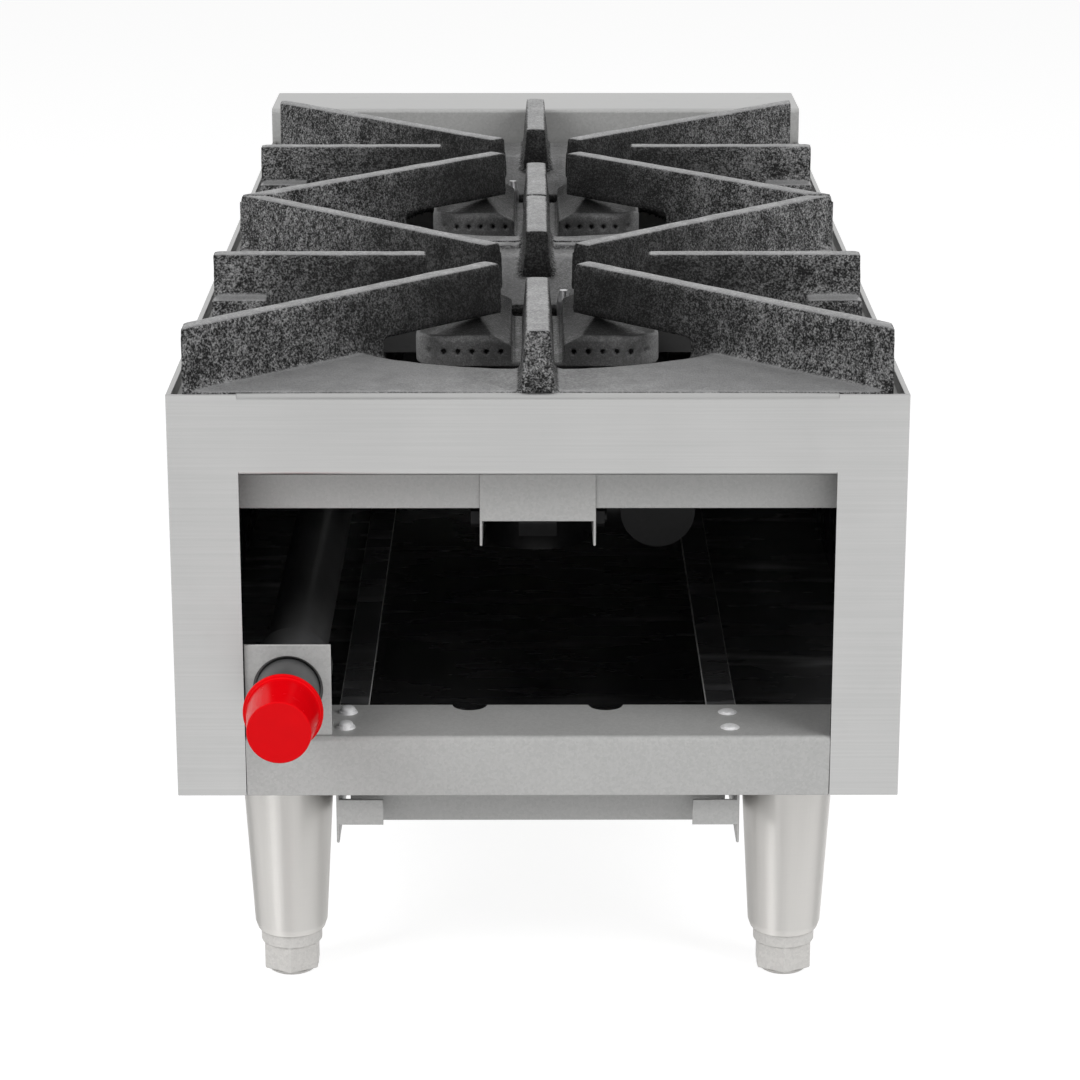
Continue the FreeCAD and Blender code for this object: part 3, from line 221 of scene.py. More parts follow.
class Wire:
    """An output socket that takes part in Python sums."""

    def __init__(self, graph, socket):
        self.graph = graph
        self.socket = socket

    def other(self, name):
        """Another output of the same node."""
        return Wire(self.graph, self.socket.node.outputs[name])

    def sum(self, operation, first, second):
        return self.graph.add("ShaderNodeMath", {"operation": operation}, {0: first, 1: second})

    def __add__(self, value):
        return self.sum("ADD", self, value)

    def __radd__(self, value):
        return self.sum("ADD", value, self)

    def __sub__(self, value):
        return self.sum("SUBTRACT", self, value)

    def __rsub__(self, value):
        return self.sum("SUBTRACT", value, self)

    def __mul__(self, value):
        return self.sum("MULTIPLY", self, value)

    def __rmul__(self, value):
        return self.sum("MULTIPLY", value, self)


class Graph:
    """A node tree that is filled one node at a time."""

    def __init__(self, tree):
        self.tree = tree

    def add(self, kind, settings=None, inputs=None):
        """Add a node, give it its settings, then its socket values or links; returns its first output."""
        node = self.tree.nodes.new(kind)
        for name, value in (settings or {}).items():
            setattr(node, name, value)
        for key, value in (inputs or {}).items():
            socket = self.find(node, key)
            for item in value if isinstance(value, list) else [value]:
                if isinstance(item, Wire):
                    self.tree.links.new(item.socket, socket)
                else:
                    socket.default_value = item
        if not node.outputs:
            return None
        return Wire(self, next(socket for socket in node.outputs if socket.enabled))

    def find(self, node, key):
        if isinstance(key, int):
            return node.inputs[key]
        return next(socket for socket in node.inputs if socket.enabled and socket.name == key)


class Finish(Graph):
    """A procedural material."""

    def __init__(self, name):
        self.material = bpy.data.materials.new(name)
        self.material.use_nodes = True
        super().__init__(self.material.node_tree)
        self.tree.nodes.clear()
        self.point = self.add("ShaderNodeTexCoord").other("Object")

    def stretched(self, scale):
        return self.add("ShaderNodeMapping", None, {"Vector": self.point, "Scale": scale})

    def noise(self, scale, detail=2.0, point=None, crisp=0.5):
        inputs = {"Vector": point or self.point, "Scale": scale, "Detail": detail, "Roughness": crisp}
        return self.add("ShaderNodeTexNoise", None, inputs)

    def cells(self, scale):
        return self.add("ShaderNodeTexVoronoi", None, {"Vector": self.point, "Scale": scale})

    def step(self, value, low, high):
        """Zero below low, one above high and smooth between them."""
        inputs = {"Value": value, "From Min": low, "From Max": high}
        return self.add("ShaderNodeMapRange", {"interpolation_type": "SMOOTHSTEP"}, inputs)

    def upward(self, low, high):
        """One on faces that look up, zero on upright ones."""
        normal = self.add("ShaderNodeNewGeometry").other("Normal")
        rise = self.add("ShaderNodeSeparateXYZ", None, {"Vector": normal}).other("Z")
        return self.step(rise, low, high)

    def close_to(self, place, reach, stretch):
        """One close to a place, zero far from it; it reaches further along an axis stretched below one."""
        spot = tuple(at * factor for at, factor in zip(place, stretch))
        inputs = {0: self.stretched(stretch), 1: spot}
        gap = self.add("ShaderNodeVectorMath", {"operation": "DISTANCE"}, inputs)
        return 1.0 - self.step(gap, *reach)

    def blend(self, share, first, second):
        """Mix of two colours, either of them plain or a wire."""
        inputs = {"Factor": share, "A": opaque(first), "B": opaque(second)}
        return self.add("ShaderNodeMix", {"data_type": "RGBA"}, inputs)

    def shades(self, share, tint, dark, pale):
        """Tones of one tint, from a dark share of it to a pale one."""
        return self.blend(share, toned(tint, dark), toned(tint, pale))

    def bump(self, height, strength, distance):
        inputs = {"Height": height, "Strength": strength, "Distance": distance}
        return self.add("ShaderNodeBump", None, inputs)

    def shade(self, **sockets):
        """The surface shader; socket names are written with underscores."""
        inputs = {name.replace("_", " "): value for name, value in sockets.items()}
        surface = self.add("ShaderNodeBsdfPrincipled", None, inputs)
        self.add("ShaderNodeOutputMaterial", None, {"Surface": surface})
        return self.material


def opaque(tint):
    if isinstance(tint, Wire):
        return tint
    return (tint[0], tint[1], tint[2], 1.0)


def toned(tint, factor):
    return tuple(min(1.0, channel * factor) for channel in tint)


# Finishes

def brushed_sheet(name, tint, grain):
    """Satin sheet steel with brush lines along one axis, faint clouds and handling marks."""
    f = Finish(name)
    along = 11.0
    across = 1300.0
    scale = tuple(along if axis == grain else across for axis in "XYZ")
    lines = f.noise(1.0, detail=3.0, point=f.stretched(scale))
    clouds = f.noise(16.0, detail=4.0)
    marks = f.step(f.noise(70.0, detail=5.0), low=0.60, high=0.78)
    base = f.shades(0.55 * lines + 0.45 * clouds, tint, dark=0.78, pale=1.2)
    roughness = 0.28 + 0.14 * lines + 0.10 * clouds + 0.07 * marks
    return f.shade(Base_Color=base, Roughness=roughness, Metallic=1.0,
                   Normal=f.bump(lines, strength=0.05, distance=0.0001))


def zinc_sheet(name, tint):
    """Zinc coated sheet, dull satin with a fine speckle of crystals."""
    f = Finish(name)
    cells = f.cells(900.0)
    spangle = f.add("ShaderNodeSeparateColor", None, {"Color": cells.other("Color")})
    fine = f.noise(1500.0)
    clouds = f.noise(24.0, detail=4.0)
    base = f.shades(0.3 * spangle + 0.35 * fine + 0.35 * clouds, tint, dark=0.78, pale=1.2)
    roughness = 0.42 + 0.08 * spangle + 0.10 * clouds
    return f.shade(Base_Color=base, Roughness=roughness, Metallic=0.35,
                   Normal=f.bump(fine, strength=0.10, distance=0.0001))


def painted_shade_finish(name, tint):
    """Painted shade: a dark coat for faces inside the box where it is in shade, glossy where it is smooth, duller
    in smears that are painted paler as reflections.
    """
    f = Finish(name)
    clouds = f.noise(22.0, detail=4.0)
    smears_and_sheen = f.noise(1.0, detail=3.0, point=f.stretched((12.0, 70.0, 60.0)))
    speckle = f.noise(700.0)
    clean = f.shades(clouds, tint, dark=0.6, pale=1.6)
    # Paler smears are painted reflections on the coat
    base = f.blend(f.step(smears_and_sheen, low=0.55, high=0.75), clean, toned(tint, 4.0))
    roughness = 0.12 + 0.14 * clouds + 0.16 * smears_and_sheen
    return f.shade(Base_Color=base, Roughness=roughness, Specular_IOR_Level=0.5,
                   Normal=f.bump(speckle, strength=0.05, distance=0.0001))


def cast_surface(name, tints, pebble, depth, flame, reach, stretch, rubbed):
    """Sand-cast iron: dull pits, glossier grains partly painted paler as glints, smoother tops in a painted top
    tint, and soot with painted shade by the flame that pans rub off tops.
    """
    tint, grain_and_glint_tint, painted_top_tint, soot_and_shade_tint = tints
    f = Finish(name)
    relief = 0.3 * f.noise(pebble) + 0.7 * f.noise(2.4 * pebble, detail=4.0, crisp=0.6)
    broad = f.noise(90.0, detail=4.0)
    grains = f.step(relief + 0.22 * (broad - 0.5), low=0.41, high=0.71)
    up = f.upward(low=0.7, high=0.97)
    # Pale grains: partly the cast texture, partly painted glints
    sides = f.blend(grains, tint, grain_and_glint_tint)
    # Painted top tint: light on the grates' upward faces, shade on the heads' tops
    painted_tops = f.shades(0.5 * relief + 0.5 * broad, painted_top_tint, dark=0.5, pale=1.5)
    # Soot and painted shade close to the flame, taken off upward faces as far as rubbed says
    soot_and_shade = 0.9 * f.close_to(flame, reach, stretch) * (1.0 - rubbed * up)
    base = f.blend(soot_and_shade, f.blend(up, sides, painted_tops), soot_and_shade_tint)
    roughness = 0.56 - 0.12 * grains - 0.14 * up + 0.14 * (broad - 0.5)
    return f.shade(Base_Color=base, Roughness=roughness, IOR=1.3, Coat_Weight=grains, Coat_Roughness=0.3,
                   Normal=f.bump(relief * (1.0 - 0.75 * up), strength=1.0, distance=depth))


def mill_iron(name, tint, index):
    """Black mill scale on pipe and fittings."""
    f = Finish(name)
    scale = f.noise(260.0, detail=4.0)
    clouds = f.noise(40.0, detail=3.0)
    base = f.shades(scale, tint, dark=0.7, pale=1.9)
    roughness = 0.22 + 0.16 * clouds + 0.1 * scale
    return f.shade(Base_Color=base, Roughness=roughness, IOR=index,
                   Normal=f.bump(scale, strength=0.12, distance=0.0002))


def moulded(name, tint, dullness, texture, sheen):
    """Moulded plastic with a faint orange peel and a few scuffs."""
    f = Finish(name)
    peel = f.noise(texture)
    scuffs = f.step(f.noise(180.0, detail=5.0), low=0.62, high=0.80)
    clouds = f.noise(60.0)
    base = f.shades(clouds, tint, dark=0.9, pale=1.08)
    roughness = dullness + 0.08 * clouds + 0.14 * scuffs
    return f.shade(Base_Color=base, Roughness=roughness, Specular_IOR_Level=sheen,
                   Normal=f.bump(peel, strength=0.04, distance=0.0002))


def machined_metal(name, tint, dullness):
    """Plated or machined metal."""
    f = Finish(name)
    grain = f.noise(500.0, detail=3.0)
    clouds = f.noise(45.0, detail=4.0)
    base = f.shades(0.5 * grain + 0.5 * clouds, tint, dark=0.82, pale=1.12)
    roughness = dullness + 0.12 * grain + 0.10 * clouds
    return f.shade(Base_Color=base, Roughness=roughness, Metallic=1.0,
                   Normal=f.bump(grain, strength=0.08, distance=0.0001))


def turned_metal(name, tint):
    """Lathe-turned metal: tool rings draw every reflection out along the axis."""
    f = Finish(name)
    rings = f.noise(1.0, detail=3.0, point=f.stretched((20.0, 20.0, 2600.0)))
    clouds = f.noise(45.0, detail=4.0)
    base = f.shades(0.3 * rings + 0.7 * clouds, tint, dark=0.92, pale=1.08)
    roughness = 0.46 + 0.05 * rings + 0.08 * clouds
    return f.shade(Base_Color=base, Roughness=roughness, Metallic=1.0, Anisotropic=0.92,
                   Anisotropic_Rotation=0.25)


def paint(name, tint):
    """Printed paint of a mark, slightly worn."""
    f = Finish(name)
    worn = f.noise(420.0, detail=4.0)
    base = f.shades(worn, tint, dark=0.85, pale=1.0)
    return f.shade(Base_Color=base, Roughness=0.4 + 0.2 * worn,
                   Normal=f.bump(worn, strength=0.05, distance=0.0001))


def finishes(colours):
    """Every finish by its short name, made once."""
    if "satin_side" not in bpy.data.materials:
        c = colours
        brushed_sheet("satin_side", c.stainless, "Y")
        brushed_sheet("satin_cross", c.stainless, "X")
        zinc_sheet("spangled_sheet", c.galvanised)
        # Painted shade: galvanised sheet toned darker for set-back faces in shade
        zinc_sheet("dull_sheet", toned(c.galvanised, 0.95))
        # Painted shade for inner faces, and a paler version of it for upward faces along the bottom
        painted_shade_finish("dark_inside", c.inside)
        painted_shade_finish("dull_inside", toned(c.inside, 4.0))
        for name in SETS:
            low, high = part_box(name + "_burner_head")
            flame = (low + high) / 2
            grate_tints = (c.cast_iron, c.cast_grain_and_glint, c.cast_top_painted_light, c.soot_and_shade)
            # Painted shade: the heads' top tint is darker than their sides
            head_tints = (c.burner_iron, toned(c.cast_grain_and_glint, 0.7), toned(c.burner_iron, 0.4), c.soot_and_shade)
            cast_surface(name + "_grate_iron", grate_tints, pebble=480.0, depth=0.0028, flame=flame,
                         reach=(0.06, 0.175), stretch=(1.0, 1.0, 1.0), rubbed=1.0)
            cast_surface(name + "_burner_iron", head_tints, pebble=620.0, depth=0.0009, flame=flame,
                         reach=(0.025, 0.06), stretch=(1.0, 0.6, 1.0), rubbed=0.0)
        mill_iron("mixer_iron", c.mixer_iron, index=1.25)
        mill_iron("pipe_scale", c.black_pipe, index=1.8)
        moulded("red_cap", c.cap, dullness=0.2, texture=900.0, sheen=0.1)
        moulded("black_knob", c.knob, dullness=0.34, texture=1400.0, sheen=0.5)
        machined_metal("valve_brass", c.brass, dullness=0.26)
        machined_metal("pilot_aluminium", c.aluminium, dullness=0.3)
        turned_metal("turned_leg", c.leg)
        zinc_sheet("dull_foot", toned(c.leg, 0.9))
        zinc_sheet("bright_zinc", c.zinc)
        paint("mark_paint", c.mark)
    return bpy.data.materials


# Mesh helpers

def link(name, mesh):
    piece = bpy.data.objects.new(name, mesh)
    bpy.context.scene.collection.objects.link(piece)
    return piece


def merged(node):
    """A joined copy of a CAD node's triangles, with its flat faces whole."""
    shape = bmesh.new()
    shape.from_mesh(frame["nodes"][node].data)
    bmesh.ops.remove_doubles(shape, verts=shape.verts, dist=1e-6)
    bmesh.ops.dissolve_limit(shape, angle_limit=math.radians(0.5), verts=shape.verts, edges=shape.edges)
    return shape


def round_edges(shape, width, segments, shortest, square):
    """Round the sharp edges, but for short ones and those whose middle square() picks."""
    edges = []
    for edge in shape.edges:
        if edge.is_manifold and edge.calc_face_angle() > SHARP_ANGLE and edge.calc_length() > shortest:
            if not square((edge.verts[0].co + edge.verts[1].co) / 2):
                edges.append(edge)
    bmesh.ops.bevel(shape, geom=edges, offset=width, offset_type="OFFSET", segments=segments, profile=0.5,
                    affect="EDGES", clamp_overlap=False)


def baked(piece):
    """Turn what the piece's modifiers show into its plain mesh."""
    view = bpy.context.evaluated_depsgraph_get()
    piece.data = bpy.data.meshes.new_from_object(piece.evaluated_get(view))
    piece.modifiers.clear()
    return piece


def even_normals(piece):
    """Smooth shading that keeps flat faces flat."""
    piece.data.shade_smooth()
    piece.data.set_sharp_from_angle(angle=SMOOTH_ANGLE)
    weighting = piece.modifiers.new("weighting", "WEIGHTED_NORMAL")
    weighting.keep_sharp = True
    return baked(piece)


def stand_for(piece, node):
    """The piece rides where the node rides and is shown in its place."""
    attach(piece, frame["nodes"][node]["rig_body"])
    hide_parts(node)
    return piece


def coat(mesh, material):
    """Give the whole mesh one finish."""
    mesh.materials.clear()
    mesh.materials.append(material)
    mesh.polygons.foreach_set("material_index", [0] * len(mesh.polygons))


def dressed(node, suffix, material, width, segments=2, shortest=0.0, square=lambda middle: False):
    """A CAD node's shape with rounded edges and a finish."""
    shape = merged(node)
    if width > 0:
        round_edges(shape, width, segments, shortest, square)
    mesh = bpy.data.meshes.new(node + "_" + suffix)
    shape.to_mesh(mesh)
    shape.free()
    coat(mesh, material)
    piece = even_normals(link(node + "_" + suffix, mesh))
    return stand_for(piece, node)


def sheet(node, material, width, square=lambda middle: False):
    """A CAD node of folded sheet, its cut edges rounded."""
    return dressed(node, "sheet", material, width, shortest=SHORT_EDGE, square=square)


def cast(node, material, grain, softening, casting):
    """A CAD node's shape as a sand casting: soft edges and slightly wandering faces."""
    shape = merged(node)
    mesh = bpy.data.meshes.new(node + "_casting")
    shape.to_mesh(mesh)
    shape.free()
    piece = link(node + "_casting", mesh)
    rebuilt = piece.modifiers.new("rebuilt", "REMESH")
    rebuilt.mode = "VOXEL"
    rebuilt.voxel_size = grain
    softened = piece.modifiers.new("softened", "SMOOTH")
    softened.factor = casting.edge_pull
    softened.iterations = softening
    baked(piece)
    moved = []
    for vert in piece.data.vertices:
        wave = noise.noise(vert.co / casting.wave_length)
        moved.extend(vert.co + vert.normal * (wave * casting.wave_height))
    piece.data.vertices.foreach_set("co", moved)
    piece.data.shade_smooth()
    coat(piece.data, material)
    return stand_for(piece, node)


def coat_faces(piece, material, wanted):
    """Give another finish to the faces that wanted(centre, normal) picks."""
    piece.data.materials.append(material)
    slot = len(piece.data.materials) - 1
    for face in piece.data.polygons:
        if wanted(face.center, face.normal):
            face.material_index = slot


def islands(node):
    """Lowest and highest corner of each separate solid in a node."""
    shape = merged(node)
    left = set(shape.verts)
    boxes = []
    while left:
        found = [left.pop()]
        group = []
        while found:
            vert = found.pop()
            group.append(vert.co.copy())
            for edge in vert.link_edges:
                other = edge.other_vert(vert)
                if other in left:
                    left.remove(other)
                    found.append(other)
        low = Vector(min(co[axis] for co in group) for axis in range(3))
        high = Vector(max(co[axis] for co in group) for axis in range(3))
        boxes.append((low, high))
    shape.free()
    return boxes


# Node trees for what repeats

class Recipe(Graph):
    """A geometry node tree with named inputs."""

    KINDS = {"length": "NodeSocketFloat", "count": "NodeSocketInt", "turn": "NodeSocketVector",
             "finish": "NodeSocketMaterial"}

    def __init__(self, name, sizes):
        super().__init__(bpy.data.node_groups.new(name, "GeometryNodeTree"))
        panel = self.tree.interface
        panel.new_socket("Geometry", in_out="INPUT", socket_type="NodeSocketGeometry")
        panel.new_socket("Geometry", in_out="OUTPUT", socket_type="NodeSocketGeometry")
        for title, kind in sizes.items():
            panel.new_socket(title, in_out="INPUT", socket_type=self.KINDS[kind])
        self.given = self.add("NodeGroupInput")

    def size(self, title):
        return self.given.other(title)

    def prism(self, sides, low_radius, high_radius, depth, lift=0.0):
        """A cone or rod that stands on the height lift."""
        solid = self.add("GeometryNodeMeshCone", None, {
            "Vertices": sides, "Radius Top": high_radius, "Radius Bottom": low_radius, "Depth": depth})
        offset = self.add("ShaderNodeCombineXYZ", None, {"Z": lift})
        return self.add("GeometryNodeTransform", None, {"Geometry": solid, "Translation": offset})

    def finish(self, geometry):
        """Close the tree: real geometry with its finish."""
        real = self.add("GeometryNodeRealizeInstances", None, {"Geometry": geometry})
        set_finish = self.add("GeometryNodeSetMaterial", None,
                              {"Geometry": real, "Material": self.size("Finish")})
        self.add("NodeGroupOutput", None, {"Geometry": set_finish})
        return self.tree


def screw_recipe():
    """Pan-head screws with a flange, one on each point."""
    r = Recipe("screws", {"Flange radius": "length", "Flange height": "length", "Head radius": "length",
                          "Head height": "length", "Shank radius": "length", "Shank length": "length",
                          "Turn": "turn", "Finish": "finish"})
    flange = r.size("Flange radius")
    flange_height = r.size("Flange height")
    head = r.size("Head radius")
    head_height = r.size("Head height")
    shank = r.size("Shank radius")
    shank_length = r.size("Shank length")
    parts = [r.prism(36, flange, 0.9 * flange, flange_height)]
    # Shares of the head's height and of its radius there
    dome = ((0.0, 1.0), (0.5, 0.92), (0.8, 0.7), (1.0, 0.3))
    for (low, low_radius), (high, high_radius) in zip(dome, dome[1:]):
        lift = flange_height + low * head_height
        parts.append(r.prism(28, low_radius * head, high_radius * head, (high - low) * head_height, lift))
    parts.append(r.prism(20, shank, shank, shank_length, -1.0 * shank_length))
    solid = r.add("GeometryNodeJoinGeometry", None, {"Geometry": parts})
    placed = r.add("GeometryNodeInstanceOnPoints", None,
                   {"Points": r.size("Geometry"), "Instance": solid, "Rotation": r.size("Turn")})
    return r.finish(placed)


def thread_recipe():
    """A helical crest about the points' Y direction."""
    r = Recipe("thread", {"Radius": "length", "Length": "length", "Rounds": "length", "Crest": "length",
                          "Turn": "turn", "Finish": "finish"})
    radius = r.size("Radius")
    spiral = r.add("GeometryNodeCurveSpiral", None, {
        "Resolution": 40, "Rotations": r.size("Rounds"), "Start Radius": radius, "End Radius": radius,
        "Height": r.size("Length")})
    profile = r.add("GeometryNodeCurvePrimitiveCircle", None, {"Resolution": 8, "Radius": r.size("Crest")})
    ridge = r.add("GeometryNodeCurveToMesh", None,
                  {"Curve": spiral, "Profile Curve": profile, "Fill Caps": True})
    placed = r.add("GeometryNodeInstanceOnPoints", None,
                   {"Points": r.size("Geometry"), "Instance": ridge, "Rotation": r.size("Turn")})
    return r.finish(placed)


def tick_recipe():
    """Marks along an arc about each point, on a dial that faces -Y."""
    r = Recipe("dial_ticks", {"Radius": "length", "Ticks": "count", "Tick length": "length",
                              "Tick width": "length", "Tick height": "length", "Finish": "finish"})
    arc = r.add("GeometryNodeCurveArc", None, {
        "Resolution": r.size("Ticks"), "Radius": r.size("Radius"), "Start Angle": 0.0,
        "Sweep Angle": math.pi / 2})
    spots = r.add("GeometryNodeCurveToPoints", {"mode": "EVALUATED"}, {"Curve": arc})
    outward = r.add("FunctionNodeAlignRotationToVector", {"axis": "X"},
                    {"Vector": r.add("GeometryNodeInputPosition")})
    size = r.add("ShaderNodeCombineXYZ", None, {
        "X": r.size("Tick length"), "Y": r.size("Tick width"), "Z": r.size("Tick height")})
    bar = r.add("GeometryNodeMeshCube", None, {"Size": size})
    ring = r.add("GeometryNodeInstanceOnPoints", None,
                 {"Points": spots, "Instance": bar, "Rotation": outward})
    placed = r.add("GeometryNodeInstanceOnPoints", None, {
        "Points": r.size("Geometry"), "Instance": ring, "Rotation": (math.pi / 2, 0.0, 0.0)})
    return r.finish(placed)


def grown(name, recipe, points, values):
    """What the tree makes on the points, as a plain mesh."""
    mesh = bpy.data.meshes.new(name)
    mesh.from_pydata(points, [], [])
    mesh.materials.append(values["Finish"])
    piece = link(name, mesh)
    growth = piece.modifiers.new("growth", "NODES")
    growth.node_group = recipe
    for socket in recipe.interface.items_tree:
        if socket.in_out == "INPUT" and socket.name in values:
            growth[socket.identifier] = values[socket.name]
    baked(piece)
    piece.data.shade_smooth()
    piece.data.set_sharp_from_angle(angle=SMOOTH_ANGLE)
    return piece


# One operator for each group of like pieces

class HOTPLATE_OT_side_panels(bpy.types.Operator):
    """Side panels of satin sheet, with painted shade on their inner faces"""

    bl_idname = "hotplate.side_panels"
    bl_label = "Side panels"

    def execute(self, context):
        edges = context.scene.hotplate_edges
        look = finishes(context.scene.hotplate_colours)
        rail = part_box("rear_top_rail")[1]
        # Widths of the band beside a fold, of a flange's outer skin and of the bare hem along the top
        band = 0.003
        skin = 0.0005
        hem = 0.015
        for node in ("left_side_panel", "right_side_panel"):
            low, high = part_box(node)
            side = 1 if high.x > 0 else -1

            def flush(middle):
                return abs(middle.x * side - rail.x) < NEAR and middle.y > high.y - band

            panel = sheet(node, look["satin_side"], edges.sheet, flush)
            coat_faces(panel, look["satin_cross"], lambda centre, normal: normal.y > FACING)

            def inner(centre, normal):
                within = low.y + SKIN < centre.y < high.y - skin and centre.z < high.z - hem
                return within and (normal.x * side < -FACING or normal.y < -FACING)

            # Painted shade: the inner faces, and the upward faces along the bottom, take the dark coat
            coat_faces(panel, look["dark_inside"], inner)
            coat_faces(panel, look["dull_inside"],
                       lambda centre, normal: normal.z > FACING and centre.z < low.z + band)
        return {"FINISHED"}


class HOTPLATE_OT_rails(bpy.types.Operator):
    """Rails across the back and front, grate rests and the inlet plate"""

    bl_idname = "hotplate.rails"
    bl_label = "Rails"

    def execute(self, context):
        edges = context.scene.hotplate_edges
        look = finishes(context.scene.hotplate_colours)
        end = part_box("rear_top_rail")[1].x
        top_rail = sheet("rear_top_rail", look["satin_cross"], edges.sheet,
                         lambda middle: abs(middle.x) > end - NEAR)
        top_rail.data.transform(Matrix.Diagonal((1.0 + edges.seam / end, 1.0, 1.0, 1.0)))
        # Painted shade: the set-back inner rail is toned darker
        sheet("rear_inner_rail", look["dull_sheet"], edges.sheet)
        bottom_rail = sheet("rear_bottom_rail", look["spangled_sheet"], edges.sheet)
        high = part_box("rear_bottom_rail")[1]
        for vert in bottom_rail.data.vertices:
            at_end = abs(vert.co.x) > high.x - SKIN
            if at_end and vert.co.y < high.y - FOLD and vert.co.z > high.z - FOLD:
                vert.co.x += math.copysign(edges.tuck, vert.co.x)
        for node in ("front_bottom_rail", "inlet_plate", "left_grate_rest", "right_grate_rest",
                     "rear_burner_bracket"):
            sheet(node, look["spangled_sheet"], edges.sheet)
        # Painted shade: these inner pieces take the dark coat whole
        for node in ("middle_rail", "front_burner_bracket", "manifold_saddles"):
            sheet(node, look["dark_inside"], edges.sheet)
        return {"FINISHED"}


class HOTPLATE_OT_front(bpy.types.Operator):
    """Front ledge with its rolled nose, and the control panel"""

    bl_idname = "hotplate.front"
    bl_label = "Front ledge and panel"

    def execute(self, context):
        edges = context.scene.hotplate_edges
        look = finishes(context.scene.hotplate_colours)
        ledge = sheet("front_ledge", look["satin_cross"], edges.sheet)
        panel = sheet("control_panel", look["satin_cross"], edges.sheet)
        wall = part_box("front_ledge")[1].y - SKIN
        # Painted shade: the ledge's inner wall and the panel's back take the dark coat
        coat_faces(ledge, look["dark_inside"],
                   lambda centre, normal: normal.y > FACING and centre.y < wall)
        coat_faces(ledge, look["spangled_sheet"],
                   lambda centre, normal: normal.y > FACING and centre.y > wall)
        coat_faces(panel, look["dark_inside"], lambda centre, normal: normal.y > FACING)
        return {"FINISHED"}


class HOTPLATE_OT_grates(bpy.types.Operator):
    """Sand-cast grates with soft edges and slightly wandering faces"""

    bl_idname = "hotplate.grates"
    bl_label = "Grates"

    def execute(self, context):
        casting = context.scene.hotplate_casting
        look = finishes(context.scene.hotplate_colours)
        for name in SETS:
            cast(name + "_grate", look[name + "_grate_iron"], casting.grain, casting.softening, casting)
        return {"FINISHED"}


class HOTPLATE_OT_burners(bpy.types.Operator):
    """Burner heads, mixing tubes and air shutters"""

    bl_idname = "hotplate.burners"
    bl_label = "Burners"

    def execute(self, context):
        casting = context.scene.hotplate_casting
        look = finishes(context.scene.hotplate_colours)
        for name in SETS:
            cast(name + "_burner_head", look[name + "_burner_iron"], casting.head_grain,
                 casting.head_softening, casting)
            dressed(name + "_burner_base", "casting", look["mixer_iron"], 0.0)
            dressed(name + "_air_shutter", "plate", look["mixer_iron"], 0.0)
        dressed("burner_bolts", "set", look["mixer_iron"], 0.0)
        return {"FINISHED"}


class HOTPLATE_OT_gas_line(bpy.types.Operator):
    """Inlet nipple with its thread, pipe, elbow and manifold"""

    bl_idname = "hotplate.gas_line"
    bl_label = "Gas line"

    def execute(self, context):
        sizes = context.scene.hotplate_fasteners
        look = finishes(context.scene.hotplate_colours)
        for node in ("inlet_nipple", "inlet_coupling", "gas_pipe", "gas_elbow", "manifold", "manifold_plug"):
            dressed(node, "iron", look["pipe_scale"], 0.0)
        low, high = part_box("inlet_nipple")
        middle = (low + high) / 2
        thread_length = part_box("inlet_nipple")[1].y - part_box("inlet_cap")[0].y
        radius = (high.x - low.x) / 2 - sizes.thread_sink
        crest = sizes.thread_crest
        spot = (middle.x, high.y - thread_length + crest, middle.z)
        run = thread_length - 2 * crest
        thread = grown("inlet_thread", thread_recipe(), [spot], {
            "Radius": radius, "Length": run, "Rounds": run / sizes.thread_pitch, "Crest": crest,
            "Turn": (-math.pi / 2, 0.0, 0.0), "Finish": look["pipe_scale"]})
        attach(thread, "chassis")
        return {"FINISHED"}


class HOTPLATE_OT_inlet_cap(bpy.types.Operator):
    """Moulded cap on the gas inlet"""

    bl_idname = "hotplate.inlet_cap"
    bl_label = "Inlet cap"

    def execute(self, context):
        edges = context.scene.hotplate_edges
        look = finishes(context.scene.hotplate_colours)
        dressed("inlet_cap", "moulding", look["red_cap"], edges.cap, segments=3)
        return {"FINISHED"}


